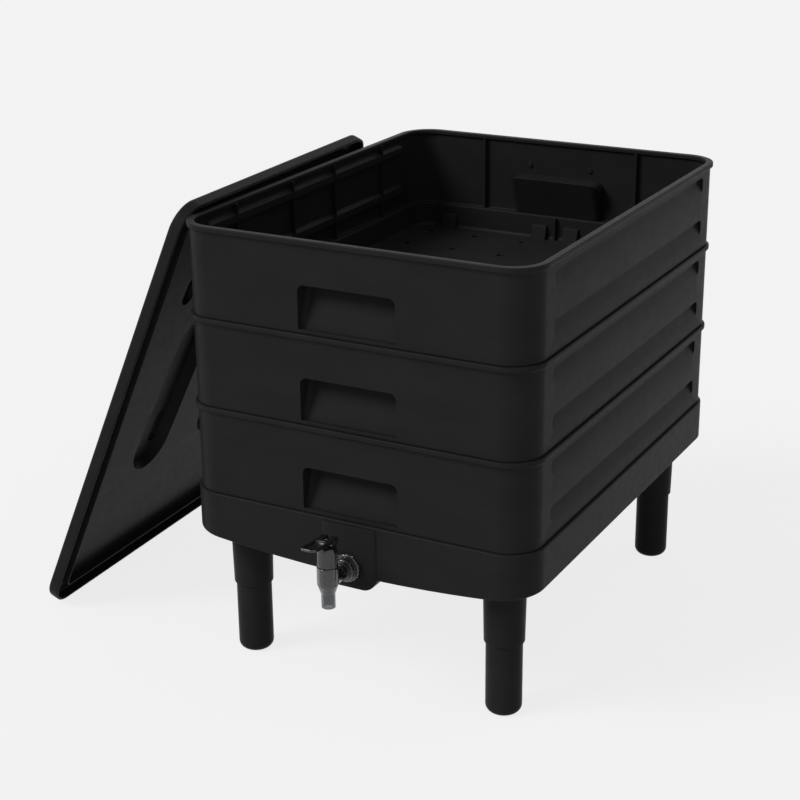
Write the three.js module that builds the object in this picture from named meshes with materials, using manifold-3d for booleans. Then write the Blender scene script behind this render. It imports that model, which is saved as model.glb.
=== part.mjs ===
// Stacking wormery: three working trays on a sump with four legs and a tap, and the lid leaning beside it.
// Millimetres, +Z up, the front with the tap faces -Y. The origin is the middle of the whole footprint, on
// the floor.

import * as THREE from 'three';
import { mergeGeometries, mergeVertices } from 'three/addons/utils/BufferGeometryUtils.js';
import Module from 'manifold-3d';

const wasm = await Module();
wasm.setup();

// The stack of trays and sump, seen from above.
const stackWidth = 400;
const stackDepth = 528;
const cornerRadius = 36;
const wall = 3;
const seatGap = 0.3;
const cutOverrun = 2;

// A tray, from its rim down.
const trayNames = ['tray_bottom', 'tray_middle', 'tray_top'];
const trayPitch = 98;
const rimBead = 3;
const rimBeadHeight = 5;
const rimFlareHeight = 6;
const rimLip = 2.5;
const rimLipHeight = 5;
const ledgeRise = 6;
const ledgeThickness = 3;
const nestDepth = 26;
const nestClearance = 0.8;
const trayFloor = 3;

// Ribs inside a tray's walls.
const ribThickness = 2.5;
const ribStand = 5.5;
const ribTopDrop = 1.5;
const sideRibInner = 46;
const sideRibOuter = 160;
const endRibPlace = 100;

// Channels pressed into a tray's sides.
const channelDepth = 4.5;
const channelHeight = 17;
const channelSlopeHeight = 9;
const channelLipHeight = 1;
const channelEndInset = 54;
const channelEndRadius = 6;
const channelDropUpper = 12;
const channelDropLower = 62;

// Finger pocket in a tray's front and back.
const pocketWidth = 111;
const pocketHeight = 46.5;
const pocketDrop = 47;
const pocketRadius = 7;
const pocketCornerRadius = 5.5;
const pocketDepthTop = 24;
const pocketDepthBottom = 6;

// Moulded details on a tray's end walls, seen from inside.
const studRadius = 3.3;
const studStand = 1.6;
const studPlace = 39.5;
const studDrop = 32;
const lugWidth = 20;
const lugHeight = 19;
const lugStandTop = 2.5;
const lugStandBottom = 8;
const lugPlaceInner = 21;
const lugPlaceOuter = 146;
const keyRibThickness = 3;
const keyRibStand = 5;

// Drain holes in a tray's floor.
const drainHole = 8;
const drainPitch = 64;
const drainMargin = 24;

// Sump.
const sumpEdgeHeight = 47;
const sumpSag = 13;
const sumpFloor = 3;

// Legs and their sockets.
const legRadius = 19.5;
const legWall = 2.5;
const legFootRadius = 9;
const legClearance = 0.3;
const legInsetX = 46;
const legInsetY = 48;
const legShownHeight = 83;
const socketHeight = 74;
const socketMouthRadius = 21.6;
const socketRootRadius = 23.4;
const socketBlindRise = 7;

// Boss and well for the tap.
const bossWidth = 64;
const bossStand = 3.5;
const bossFlatWidth = 34;
const bossBottomRadius = 15;
const bossBelowEdge = 25;
const bossTopDrop = 2;
const wellDepth = 36;
const wellWall = 3;

// Tap.
const tapDrop = 48;
const tapReach = 40.5;
const shankRadius = 8.5;
const shankLength = 22;
const shankBoreRadius = 5;
const shankClearance = 0.3;
const washerRadius = 14.5;
const washerThickness = 2;
const nutRadius = 15;
const nutThickness = 8;
const flangeRadius = 15.5;
const flangeThickness = 3;
const collarRadius = 12;
const collarLength = 6;
const stubRadius = 8;
const barrelRadius = 11.3;
const barrelTopRise = 18.3;
const barrelTaperDrop = 1.5;
const nozzleRadius = 7.4;
const nozzleTopDrop = 12;
const nozzleEndDrop = 28;
const nozzleLipRadius = 0.8;
const nozzleBoreRadius = 5.2;
const chamberRadius = 8.6;
const seatDrop = 4.6;
const seatThickness = 2.4;
const seatBoreRadius = 4.4;
const bonnetRadius = 10.6;
const bonnetHeight = 22.4;
const bonnetDomeHeight = 5;
const bonnetDomeInset = 5.4;
const bonnetDomeSteps = 3;
const bonnetTopThickness = 2.5;
const bonnetSpigotLength = 5;
const bonnetSpigotWall = 1.4;
const stemRadius = 2.4;
const stemClearance = 0.4;
const stemCollarRadius = 6;
const stemCollarThickness = 2;
const stemHead = 3.2;
const plugRadius = 6.2;
const plugHeight = 8;
const plugTipRadius = 3.4;
const springRadius = 4.6;
const springWireRadius = 0.6;
const springTurnCount = 5;
const springStepCount = 8;
const springSideCount = 5;

// Lever on its cam.
const camRadius = 4.2;
const camLift = 4;
const camTurnDegrees = 80;
const camStepCount = 6;
const leverReach = 40;
const leverWidth = 17;
const leverTipRise = 8;
const leverThickness = 3.6;
const leverTipRadius = 5;
const leverTipShare = 0.75;
const leverForkGap = 5.8;
const leverForkReach = 5;
const leverDishDepth = 1.2;
const leverDishLength = 26;
const leverDishWidth = 12;
const leverDishRadius = 4;
const leverDishMargin = 4;
const pinRadius = 1.3;
const pinClearance = 0.3;

// Lid, in the place where it closes the stack, and how it leans.
const lidSideClearance = 0.5;
const lidEndClearance = 5;
const lidWall = 3;
const lidPlate = 3;
const lidEdge = 1.5;
const lidSkirt = 14;
const lidCornerRadius = 30;
const lidRidgeThickness = 2.5;
const lidRidgeDepth = 10;
const lidBarLength = 226;
const lidBarWidth = 80;
const lidBarStand = 12;
const lidBarDraft = 9;
const lidBarPlace = 63;
const lidBarDrop = 22;
const lidBarTiltDegrees = 5.5;
const lidSlotLength = 52;
const lidSlotWidth = 26;
const lidSlotStand = 3;
const lidSlotDraft = 1;
const lidSlotPlace = 50;
const lidSlotDrop = 83;
const lidEyeLength = 46;
const lidEyeWidth = 30;
const lidEyeStand = 6;
const lidEyeDraft = 4;
const lidEyePlace = 110;
const lidEyeRise = 140;
const lidRestDegrees = 57.7;
const lidTurnDegrees = 2.1;
const lidLeastLeanDegrees = 10;

// Facets.
const cornerStepCount = 4;
const archStepCount = 8;
const footStepCount = 3;
const legSideCount = 16;
const tapSideCount = 16;
const smallSideCount = 12;
const nutSideCount = 6;
const studSideCount = 6;
const softCornerSteps = 2;
const holeCurveSteps = 4;
const lidCurveSteps = 2;
const hiddenCornerSteps = 1;

// Levels above the floor.
const sumpBottomEdge = legShownHeight + socketHeight;
const sumpTop = sumpBottomEdge + sumpEdgeHeight;
const rimLevels = trayNames.map((_, layer) => sumpTop + (layer + 1) * trayPitch);
const skirtInset = wall + ribStand + nestClearance;
const ledgeTop = ledgeRise - trayPitch;
const trayBottom = -trayPitch - nestDepth;

// Solids from closed geometry, and back.
function solidOf(geometry) {
  const bare = geometry.clone();
  bare.deleteAttribute('normal');
  bare.deleteAttribute('uv');
  const merged = mergeVertices(bare);
  return new wasm.Manifold(new wasm.Mesh({
    numProp: 3,
    vertProperties: new Float32Array(merged.attributes.position.array),
    triVerts: new Uint32Array(merged.index.array),
  }));
}

function geometryOf(solid) {
  const mesh = solid.getMesh();
  const geometry = new THREE.BufferGeometry();
  geometry.setAttribute('position', new THREE.BufferAttribute(new Float32Array(mesh.vertProperties), 3));
  geometry.setIndex(new THREE.BufferAttribute(new Uint32Array(mesh.triVerts), 1));
  geometry.computeVertexNormals();
  return geometry;
}

function join(solids) {
  return solids.reduce((whole, solid) => whole.add(solid));
}

function cut(solid, cutters) {
  return cutters.reduce((whole, cutter) => whole.subtract(cutter), solid);
}

// A box between two corners.
function box(low, high) {
  const geometry = new THREE.BoxGeometry(high[0] - low[0], high[1] - low[1], high[2] - low[2]);
  geometry.translate((low[0] + high[0]) / 2, (low[1] + high[1]) / 2, (low[2] + high[2]) / 2);
  return geometry;
}

// Prisms: a plan raised along Z, a side view (Y, Z) run along X, and a front view (X, Z) run along Y.
function upright(shape, low, high, curveSegments = softCornerSteps) {
  const depth = high - low;
  const geometry = new THREE.ExtrudeGeometry(shape, { depth, bevelEnabled: false, curveSegments });
  geometry.translate(0, 0, low);
  return geometry;
}

function alongX(shape, low, high, curveSegments) {
  const geometry = upright(shape, low, high, curveSegments);
  geometry.rotateX(Math.PI / 2);
  geometry.rotateZ(Math.PI / 2);
  return geometry;
}

function alongY(shape, low, high, curveSegments) {
  const geometry = upright(shape, -high, -low, curveSegments);
  geometry.rotateX(Math.PI / 2);
  return geometry;
}

// A round bar along Y.
function roundAlongY(radius, low, high, sides = tapSideCount) {
  const geometry = new THREE.CylinderGeometry(radius, radius, high - low, sides);
  geometry.translate(0, (low + high) / 2, 0);
  return geometry;
}

// A revolved piece standing on Z, from its profile as [radius, height] pairs.
function turned(profile, sides = tapSideCount) {
  const geometry = new THREE.LatheGeometry(profile.map(([r, z]) => new THREE.Vector2(r, z)), sides);
  geometry.rotateX(Math.PI / 2);
  return geometry;
}

function polygon(points) {
  return new THREE.Shape(points.map(([x, y]) => new THREE.Vector2(x, y)));
}

// A rectangle with rounded corners, its four radii given from the lower left, anticlockwise.
function roundedRectangle(width, height, radii) {
  const [lowLeft, lowRight, highRight, highLeft] = Array.isArray(radii) ? radii : Array(4).fill(radii);
  const [x, y] = [width / 2, height / 2];
  const quarter = Math.PI / 2;
  const shape = new THREE.Shape();
  shape.moveTo(-x + lowLeft, -y);
  shape.lineTo(x - lowRight, -y);
  if (lowRight > 0) shape.absarc(x - lowRight, -y + lowRight, lowRight, -quarter, 0);
  shape.lineTo(x, y - highRight);
  if (highRight > 0) shape.absarc(x - highRight, y - highRight, highRight, 0, quarter);
  shape.lineTo(-x + highLeft, y);
  if (highLeft > 0) shape.absarc(-x + highLeft, y - highLeft, highLeft, quarter, 2 * quarter);
  shape.lineTo(-x, -y + lowLeft);
  if (lowLeft > 0) shape.absarc(-x + lowLeft, -y + lowLeft, lowLeft, 2 * quarter, 3 * quarter);
  return shape;
}

function planOutline(inset) {
  return roundedRectangle(stackWidth - 2 * inset, stackDepth - 2 * inset, cornerRadius - inset);
}

// A moulding swept round a rounded rectangle: the profile's [inset, height] pairs run from the middle of
// one face, out and over, to the middle of the other face.
function sweptShell(width, depth, radius, profile) {
  const ring = [];
  for (let corner = 0; corner < 4; corner += 1) {
    const signX = corner === 0 || corner === 3 ? 1 : -1;
    const signY = corner < 2 ? 1 : -1;
    for (let step = 0; step <= cornerStepCount; step += 1) {
      const angle = (corner + step / cornerStepCount) * Math.PI / 2;
      ring.push({ signX, signY, cos: Math.cos(angle), sin: Math.sin(angle) });
    }
  }
  const positions = [0, 0, profile[0][1]];
  for (const [inset, z] of profile) {
    const cornerX = width / 2 - radius;
    const cornerY = depth / 2 - radius;
    for (const { signX, signY, cos, sin } of ring) {
      positions.push(signX * cornerX + (radius - inset) * cos, signY * cornerY + (radius - inset) * sin, z);
    }
  }
  positions.push(0, 0, profile[profile.length - 1][1]);
  const last = positions.length / 3 - 1;
  const index = [];
  for (let point = 0; point < ring.length; point += 1) {
    const next = (point + 1) % ring.length;
    index.push(0, 1 + next, 1 + point);
    for (let row = 1; row < profile.length; row += 1) {
      const below = 1 + (row - 1) * ring.length;
      const above = below + ring.length;
      index.push(below + point, below + next, above + next, below + point, above + next, above + point);
    }
    const top = 1 + (profile.length - 1) * ring.length;
    index.push(last, top + point, top + next);
  }
  const geometry = new THREE.BufferGeometry();
  geometry.setAttribute('position', new THREE.BufferAttribute(new Float32Array(positions), 3));
  geometry.setIndex(index);
  return geometry;
}

// Trays. The rim's top is at height 0.
function trayShell() {
  const lipInset = wall + rimLip;
  const skirtInner = skirtInset + wall;
  return solidOf(sweptShell(stackWidth, stackDepth, cornerRadius, [
    [skirtInset, trayBottom],
    [skirtInset, ledgeTop - ledgeThickness],
    [wall, ledgeTop - ledgeThickness],
    [wall, seatGap - trayPitch],
    [0, seatGap - trayPitch],
    [0, -rimBeadHeight - rimFlareHeight],
    [-rimBead, -rimBeadHeight],
    [-rimBead, 0],
    [lipInset, 0],
    [lipInset, -rimLipHeight],
    [wall, -rimLipHeight],
    [wall, ledgeTop],
    [skirtInner, ledgeTop],
    [skirtInner, trayBottom + trayFloor],
  ]));
}

// A channel's section as [x, z] pairs for the right-hand wall: a sharp upper lip and a sloping lower face.
function channelSection(drop, grow) {
  const face = stackWidth / 2;
  const outer = face + 2 * cutOverrun;
  const inner = face - channelDepth - grow;
  const top = -drop + grow;
  const bottom = -drop - channelHeight - grow;
  return polygon([
    [inner, bottom + channelSlopeHeight],
    [face, bottom],
    [outer, bottom],
    [outer, top],
    [face, top],
    [inner, top - channelLipHeight],
  ]);
}

function channelSolid(drop, grow) {
  const length = stackDepth - 2 * channelEndInset + 2 * grow;
  const middle = -drop - channelHeight / 2;
  const face = stackWidth / 2;
  const outline = alongX(roundedRectangle(length, channelHeight + 2 * grow, channelEndRadius + grow),
    face - channelDepth - wall - cutOverrun, grow > 0 ? face - wall / 2 : face + cutOverrun,
    grow > 0 ? hiddenCornerSteps : softCornerSteps);
  outline.translate(0, 0, middle);
  return solidOf(outline).intersect(solidOf(alongY(channelSection(drop, grow), -length / 2, length / 2)));
}

// A finger pocket in the front wall: a plan with rounded far corners, raised along the pocket's sloping back
// and kept inside a round-cornered opening.
function pocketSolid(grow) {
  const slope = (pocketDepthTop - pocketDepthBottom) / pocketHeight;
  const face = -stackDepth / 2;
  const middle = -pocketDrop - pocketHeight / 2;
  const width = pocketWidth + 2 * grow;
  const halfHeight = pocketHeight / 2 + grow;
  const outer = grow > 0 ? face + wall / 2 : face - cutOverrun;
  const upper = pocketRadius + grow;
  const opening = alongY(roundedRectangle(width, 2 * halfHeight, [0, 0, upper, upper]), outer,
    face + 2 * pocketDepthTop);
  opening.translate(0, 0, middle);
  const reach = (pocketDepthTop + pocketDepthBottom) / 2 + grow * Math.hypot(1, slope);
  const length = pocketDepthTop + reach;
  const far = pocketCornerRadius + grow;
  const plan = upright(roundedRectangle(width, length, [0, 0, far, far]), -halfHeight, halfHeight,
    hiddenCornerSteps);
  plan.applyMatrix4(new THREE.Matrix4().makeShear(0, 0, 0, 0, 0, slope));
  plan.translate(0, face + reach - length / 2, middle);
  return solidOf(opening).intersect(solidOf(plan));
}

function rib(centreX, centreY, sizeX, sizeY) {
  return solidOf(box(
    [centreX - sizeX / 2, centreY - sizeY / 2, ledgeTop - ledgeThickness / 2],
    [centreX + sizeX / 2, centreY + sizeY / 2, -ribTopDrop]));
}

// A stacking lug on the skirt of the front wall: a wedge that widens towards the floor.
function lug(x) {
  const face = skirtInset + wall / 2 - stackDepth / 2;
  const inner = skirtInset + wall - stackDepth / 2;
  const bottom = trayBottom + trayFloor / 2;
  const side = polygon([
    [face, bottom], [inner + lugStandBottom, bottom],
    [inner + lugStandTop, bottom + lugHeight], [face, bottom + lugHeight],
  ]);
  return solidOf(alongX(side, x - lugWidth / 2, x + lugWidth / 2));
}

function keyRib() {
  const inner = skirtInset + wall - stackDepth / 2;
  return solidOf(box(
    [-keyRibThickness / 2, inner - wall / 2, trayBottom + trayFloor / 2],
    [keyRibThickness / 2, inner + keyRibStand, ledgeTop - ledgeThickness / 2]));
}

function stud(x) {
  const geometry = roundAlongY(studRadius, wall / 2 - stackDepth / 2, wall + studStand - stackDepth / 2,
    studSideCount);
  geometry.translate(x, 0, -studDrop);
  return solidOf(geometry);
}

function drainHoles() {
  const holes = [];
  const spanX = stackWidth - 2 * (skirtInset + wall + drainMargin);
  const spanY = stackDepth - 2 * (skirtInset + wall + drainMargin);
  const countX = Math.floor(spanX / drainPitch);
  const countY = Math.floor(spanY / drainPitch);
  for (let column = 0; column <= countX; column += 1) {
    for (let row = 0; row <= countY; row += 1) {
      const x = (column - countX / 2) * drainPitch;
      const y = (row - countY / 2) * drainPitch;
      holes.push(box([x - drainHole / 2, y - drainHole / 2, trayBottom - cutOverrun],
        [x + drainHole / 2, y + drainHole / 2, trayBottom + trayFloor + cutOverrun]));
    }
  }
  return solidOf(mergeGeometries(holes));
}

function mirrored(solid, axis) {
  return solid.mirror(axis === 'x' ? [1, 0, 0] : [0, 1, 0]);
}

function bothSides(solid, axis) {
  return [solid, mirrored(solid, axis)];
}

function traySolid() {
  const ribLength = ribStand + wall / 2;
  const ribX = (stackWidth - wall - ribLength) / 2;
  const ribY = (stackDepth - wall - ribLength) / 2;
  const sideRibs = [sideRibInner, sideRibOuter].flatMap((y) => [y, -y])
    .flatMap((y) => [ribX, -ribX].map((x) => rib(x, y, ribLength, ribThickness)));
  const endRibs = [endRibPlace, -endRibPlace]
    .flatMap((x) => [ribY, -ribY].map((y) => rib(x, y, ribThickness, ribLength)));
  const endDetails = [pocketSolid(wall), stud(studPlace), stud(-studPlace), keyRib(),
    lug(lugPlaceInner), lug(-lugPlaceInner), lug(lugPlaceOuter), lug(-lugPlaceOuter)];
  const channelBacks = [channelDropUpper, channelDropLower].map((drop) => channelSolid(drop, wall));
  const channels = [channelDropUpper, channelDropLower].map((drop) => channelSolid(drop, 0));
  const body = join([trayShell(), ...sideRibs, ...endRibs,
    ...endDetails.flatMap((solid) => bothSides(solid, 'y')),
    ...channelBacks.flatMap((solid) => bothSides(solid, 'x'))]);
  return cut(body, [drainHoles(), ...bothSides(pocketSolid(0), 'y'),
    ...channels.flatMap((solid) => bothSides(solid, 'x'))]);
}

// Sump, as wide as the trays' beads. Heights above the floor; its bottom sags to the middle, where the tap
// drains it.
const sumpFace = -stackDepth / 2 - rimBead;

function sagSection(rise, high) {
  const halfWidth = stackWidth / 2 + rimBead;
  const points = [[halfWidth, high], [-halfWidth, high]];
  for (let step = 0; step <= archStepCount; step += 1) {
    const share = 2 * step / archStepCount - 1;
    points.push([share * halfWidth, sumpBottomEdge + rise - sumpSag * (1 - share ** 2)]);
  }
  return polygon(points);
}

function sumpHollow() {
  const plan = join([
    solidOf(upright(planOutline(wall - rimBead), 0, sumpTop - rimLipHeight, cornerStepCount)),
    solidOf(upright(planOutline(wall + rimLip), 0, sumpTop + cutOverrun, cornerStepCount)),
  ]);
  return plan.intersect(solidOf(alongY(sagSection(sumpFloor, sumpTop + 2 * cutOverrun),
    sumpFace, -sumpFace)));
}

const legX = stackWidth / 2 - legInsetX;
const legY = stackDepth / 2 - legInsetY;
const legTop = sumpBottomEdge - socketBlindRise;

function socket() {
  return solidOf(turned([
    [0, legShownHeight], [socketMouthRadius, legShownHeight],
    [socketRootRadius, sumpBottomEdge + sumpEdgeHeight / 2], [0, sumpBottomEdge + sumpEdgeHeight / 2],
  ], legSideCount));
}

function socketBore() {
  const bore = legRadius + legClearance;
  return solidOf(turned([
    [0, legShownHeight - cutOverrun], [bore, legShownHeight - cutOverrun], [bore, legTop], [0, legTop],
  ], legSideCount));
}

const bossFace = sumpFace - bossStand;
const bossBottom = sumpBottomEdge - bossBelowEdge;
const tapHeight = sumpTop - tapDrop;

function bossSolid() {
  const high = sumpTop - bossTopDrop;
  const front = roundedRectangle(bossWidth, high - bossBottom, [bossBottomRadius, bossBottomRadius, 0, 0]);
  const slab = alongY(front, bossFace, -stackDepth / 2 + wellDepth);
  slab.translate(0, 0, (high + bossBottom) / 2);
  const plan = new THREE.Shape();
  plan.moveTo(-bossWidth / 2, sumpFace);
  plan.absellipse(-bossFlatWidth / 2, sumpFace, (bossWidth - bossFlatWidth) / 2, bossStand,
    Math.PI, 1.5 * Math.PI);
  plan.absellipse(bossFlatWidth / 2, sumpFace, (bossWidth - bossFlatWidth) / 2, bossStand,
    1.5 * Math.PI, 2 * Math.PI);
  plan.lineTo(bossWidth / 2, -stackDepth / 2 + wellDepth);
  plan.lineTo(-bossWidth / 2, -stackDepth / 2 + wellDepth);
  return solidOf(slab).intersect(solidOf(upright(plan, bossBottom - cutOverrun, high + cutOverrun)));
}

function wellHollow() {
  const low = bossBottom + wellWall;
  const high = sumpTop - rimLipHeight - cutOverrun;
  const radius = bossBottomRadius - wellWall;
  const hollow = alongY(roundedRectangle(bossWidth - 2 * wellWall, high - low, [radius, radius, 0, 0]),
    bossFace + wellWall, -stackDepth / 2 + wellDepth - wellWall);
  hollow.translate(0, 0, (high + low) / 2);
  return solidOf(hollow);
}

function sumpSolid() {
  const body = solidOf(upright(planOutline(-rimBead), 0, sumpTop, cornerStepCount))
    .intersect(solidOf(alongY(sagSection(0, sumpTop + cutOverrun), sumpFace, -sumpFace)));
  const corners = [[legX, legY], [-legX, legY], [legX, -legY], [-legX, -legY]];
  const sockets = corners.map(([x, y]) => socket().translate([x, y, 0]));
  const bores = corners.map(([x, y]) => socketBore().translate([x, y, 0]));
  const tapHole = solidOf(roundAlongY(shankRadius + shankClearance, bossFace - cutOverrun,
    bossFace + wellWall + cutOverrun)).translate([0, 0, tapHeight]);
  return cut(join([body, ...sockets, bossSolid()]), [sumpHollow(), wellHollow(), tapHole, ...bores]);
}

// A leg: a tube, closed below by its round-edged foot.
function legSolid() {
  const inner = legRadius - legWall;
  const foot = [];
  for (let step = 0; step <= footStepCount; step += 1) {
    const angle = step / footStepCount * Math.PI / 2;
    foot.push([legRadius - legFootRadius + legFootRadius * Math.sin(angle),
      legFootRadius - legFootRadius * Math.cos(angle)]);
  }
  return solidOf(turned([[0, 0], ...foot, [legRadius, legTop - seatGap], [inner, legTop - seatGap],
    [inner, legFootRadius], [0, legFootRadius]], legSideCount));
}

// Tap. Its barrel stands on the line x = 0, y = tapAxis.
const tapAxis = bossFace - tapReach;
const barrelTop = tapHeight + barrelTopRise;
const seatLevel = tapHeight - seatDrop;
const flangeBack = bossFace - washerThickness - 2 * seatGap;
const bonnetTop = barrelTop + seatGap + bonnetHeight;
const pinHeight = bonnetTop + seatGap + camRadius;
const springLow = seatLevel + seatGap + plugHeight + stemCollarThickness + 2 * seatGap;
const springHigh = bonnetTop - bonnetTopThickness - seatGap;

function atBarrel(geometry) {
  return solidOf(geometry).translate([0, tapAxis, 0]);
}

function atShank(geometry) {
  return solidOf(geometry).translate([0, 0, tapHeight]);
}

function tapBodySolid() {
  const shankEnd = bossFace + wellWall + shankLength;
  const barrel = atBarrel(turned([
    [0, tapHeight - nozzleEndDrop],
    [nozzleRadius - nozzleLipRadius, tapHeight - nozzleEndDrop],
    [nozzleRadius, tapHeight - nozzleEndDrop + nozzleLipRadius],
    [nozzleRadius, tapHeight - nozzleTopDrop],
    [barrelRadius, tapHeight - barrelTaperDrop],
    [barrelRadius, barrelTop],
    [0, barrelTop],
  ]));
  const bars = [
    roundAlongY(flangeRadius, flangeBack - flangeThickness, flangeBack),
    roundAlongY(collarRadius, flangeBack - flangeThickness - collarLength, flangeBack - flangeThickness / 2),
    roundAlongY(stubRadius, tapAxis, flangeBack - flangeThickness / 2),
    roundAlongY(shankRadius, flangeBack - flangeThickness / 2, shankEnd),
  ].map(atShank);
  const chamber = atBarrel(turned([
    [0, seatLevel], [chamberRadius, seatLevel],
    [chamberRadius, barrelTop + cutOverrun], [0, barrelTop + cutOverrun],
  ]));
  const seatUnder = seatLevel - seatThickness;
  const outlet = atBarrel(turned([
    [0, tapHeight - nozzleEndDrop - cutOverrun],
    [nozzleBoreRadius, tapHeight - nozzleEndDrop - cutOverrun],
    [nozzleBoreRadius, seatUnder], [seatBoreRadius, seatUnder],
    [seatBoreRadius, seatLevel + cutOverrun], [0, seatLevel + cutOverrun],
  ]));
  const inlet = atShank(roundAlongY(shankBoreRadius, tapAxis, shankEnd + cutOverrun, smallSideCount));
  const upperInlet = inlet.subtract(solidOf(box(
    [-barrelRadius, tapAxis - barrelRadius, 0], [barrelRadius, tapAxis + chamberRadius, seatLevel])));
  return cut(join([barrel, ...bars]), [chamber, outlet, upperInlet]);
}

function washerSolid(back) {
  return cut(atShank(roundAlongY(washerRadius, back, back + washerThickness)),
    [atShank(roundAlongY(shankRadius + shankClearance, back - cutOverrun,
      back + washerThickness + cutOverrun))]);
}

function nutSolid() {
  const back = bossFace + wellWall + washerThickness + 2 * seatGap;
  return cut(atShank(roundAlongY(nutRadius, back, back + nutThickness, nutSideCount)),
    [atShank(roundAlongY(shankRadius + shankClearance, back - cutOverrun,
      back + nutThickness + cutOverrun))]);
}

function bonnetSolid() {
  const low = barrelTop + seatGap;
  const spigot = chamberRadius - shankClearance;
  const bore = spigot - bonnetSpigotWall;
  const dome = [];
  for (let step = 0; step <= bonnetDomeSteps; step += 1) {
    const angle = step / bonnetDomeSteps * Math.PI / 2;
    dome.push([bonnetRadius - bonnetDomeInset * (1 - Math.cos(angle)),
      bonnetTop - bonnetDomeHeight * (1 - Math.sin(angle))]);
  }
  return atBarrel(turned([
    [bore, low - bonnetSpigotLength], [spigot, low - bonnetSpigotLength], [spigot, low],
    [bonnetRadius, low], ...dome, [stemRadius + stemClearance, bonnetTop],
    [stemRadius + stemClearance, bonnetTop - bonnetTopThickness], [bore, bonnetTop - bonnetTopThickness],
    [bore, low - bonnetSpigotLength],
  ]));
}

function stemSolid() {
  const low = seatLevel + seatGap + plugHeight + seatGap;
  const eye = solidOf(alongX(circle(pinRadius + pinClearance), -stemRadius - cutOverrun,
    stemRadius + cutOverrun, holeCurveSteps)).translate([0, tapAxis, pinHeight]);
  return cut(atBarrel(turned([
    [0, low], [stemCollarRadius, low], [stemCollarRadius, low + stemCollarThickness],
    [stemRadius, low + stemCollarThickness], [stemRadius, pinHeight + stemHead - stemRadius / 2],
    [stemRadius / 2, pinHeight + stemHead], [0, pinHeight + stemHead],
  ], smallSideCount)), [eye]);
}

function plugSolid() {
  const low = seatLevel + seatGap;
  return atBarrel(turned([
    [0, low], [plugTipRadius, low], [plugRadius, low + plugHeight / 2],
    [plugRadius, low + plugHeight], [0, low + plugHeight],
  ], smallSideCount));
}

class Helix extends THREE.Curve {
  getPoint(share, target = new THREE.Vector3()) {
    const angle = share * springTurnCount * 2 * Math.PI;
    const low = springLow + springWireRadius + seatGap;
    const high = springHigh - springWireRadius - seatGap;
    return target.set(springRadius * Math.cos(angle), tapAxis + springRadius * Math.sin(angle),
      low + share * (high - low));
  }
}

function circle(radius) {
  const shape = new THREE.Shape();
  shape.absarc(0, 0, radius, 0, 2 * Math.PI);
  return shape;
}

function springSolid() {
  const section = polygon(Array.from({ length: springSideCount }, (_, side) => {
    const angle = 2 * Math.PI * side / springSideCount;
    return [springWireRadius * Math.cos(angle), springWireRadius * Math.sin(angle)];
  }));
  return solidOf(new THREE.ExtrudeGeometry(section, {
    steps: springTurnCount * springStepCount, extrudePath: new Helix(), bevelEnabled: false,
  }));
}

// The lever's side view about its pin, as (Y, Z): a cam whose lift grows evenly with the turn, under a
// thumb plate that rises to its tip.
function leverSolid() {
  const outline = [];
  const turn = camTurnDegrees * Math.PI / 180;
  const liftPerTurn = camLift / turn;
  for (let step = 0; step <= camStepCount; step += 1) {
    const angle = step / camStepCount * turn;
    const lift = camRadius + liftPerTurn * angle;
    outline.push([lift * Math.sin(angle) + liftPerTurn * Math.cos(angle),
      -lift * Math.cos(angle) + liftPerTurn * Math.sin(angle)]);
  }
  const topRise = camRadius;
  const middleRise = (topRise + leverTipRise) / 2 - leverThickness / 4;
  outline.push([camRadius + camLift / 2, topRise], [-camRadius, topRise], [-leverReach / 2, middleRise],
    [-leverReach, leverTipRise], [-leverReach, leverTipRise - leverThickness * leverTipShare],
    [-leverReach / 2, middleRise - leverThickness], [-camRadius, topRise - leverThickness],
    [-camRadius, -camRadius / 2], [-camRadius / 2, -camRadius]);
  const side = solidOf(alongX(polygon(outline), -leverWidth / 2, leverWidth / 2));
  const cheekReach = camRadius + camLift + stemRadius;
  const plan = upright(roundedRectangle(leverWidth, leverReach + cheekReach,
    [leverTipRadius, leverTipRadius, 0, 0]), -leverReach, leverReach);
  plan.translate(0, (cheekReach - leverReach) / 2, 0);
  const fork = solidOf(box([-leverForkGap / 2, -leverForkReach, -leverReach],
    [leverForkGap / 2, leverReach, leverReach]));
  const slope = Math.atan2(leverTipRise - middleRise, leverReach / 2);
  const dish = upright(roundedRectangle(leverDishWidth, leverDishLength, leverDishRadius), -leverDishDepth,
    leverReach);
  dish.translate(0, leverDishMargin + leverDishLength / 2, 0);
  dish.rotateX(-slope);
  dish.translate(0, -leverReach, leverTipRise);
  const hole = solidOf(alongX(circle(pinRadius + pinClearance), -leverWidth, leverWidth, holeCurveSteps));
  return cut(side.intersect(solidOf(plan)), [fork, solidOf(dish), hole])
    .translate([0, tapAxis, pinHeight]);
}

function pinSolid() {
  return solidOf(alongX(circle(pinRadius), seatGap - leverWidth / 2, leverWidth / 2 - seatGap,
    holeCurveSteps))
    .translate([0, tapAxis, pinHeight]);
}

// Lid, in the place where it closes the stack: its top at height 0, its long side along Y.
const lidWidth = stackWidth + 2 * (rimBead + lidSideClearance + lidWall);
const lidEndOverhang = rimBead + lidEndClearance + lidWall;
const lidLength = stackDepth + 2 * lidEndOverhang;

// A stadium with drafted sides standing on the lid's plate, with its middle at x, y.
function stadium(width, length, draft, low, high, x, y, degrees) {
  const geometry = upright(roundedRectangle(width, length, width / 2), low, high, lidCurveSteps);
  const points = geometry.attributes.position;
  for (let point = 0; point < points.count; point += 1) {
    if (points.getZ(point) > low) {
      points.setX(point, points.getX(point) * (1 - 2 * draft / width));
      points.setY(point, points.getY(point) * (1 - 2 * draft / length));
    }
  }
  geometry.rotateZ(degrees * Math.PI / 180);
  geometry.translate(x, y, 0);
  return solidOf(geometry);
}

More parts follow.
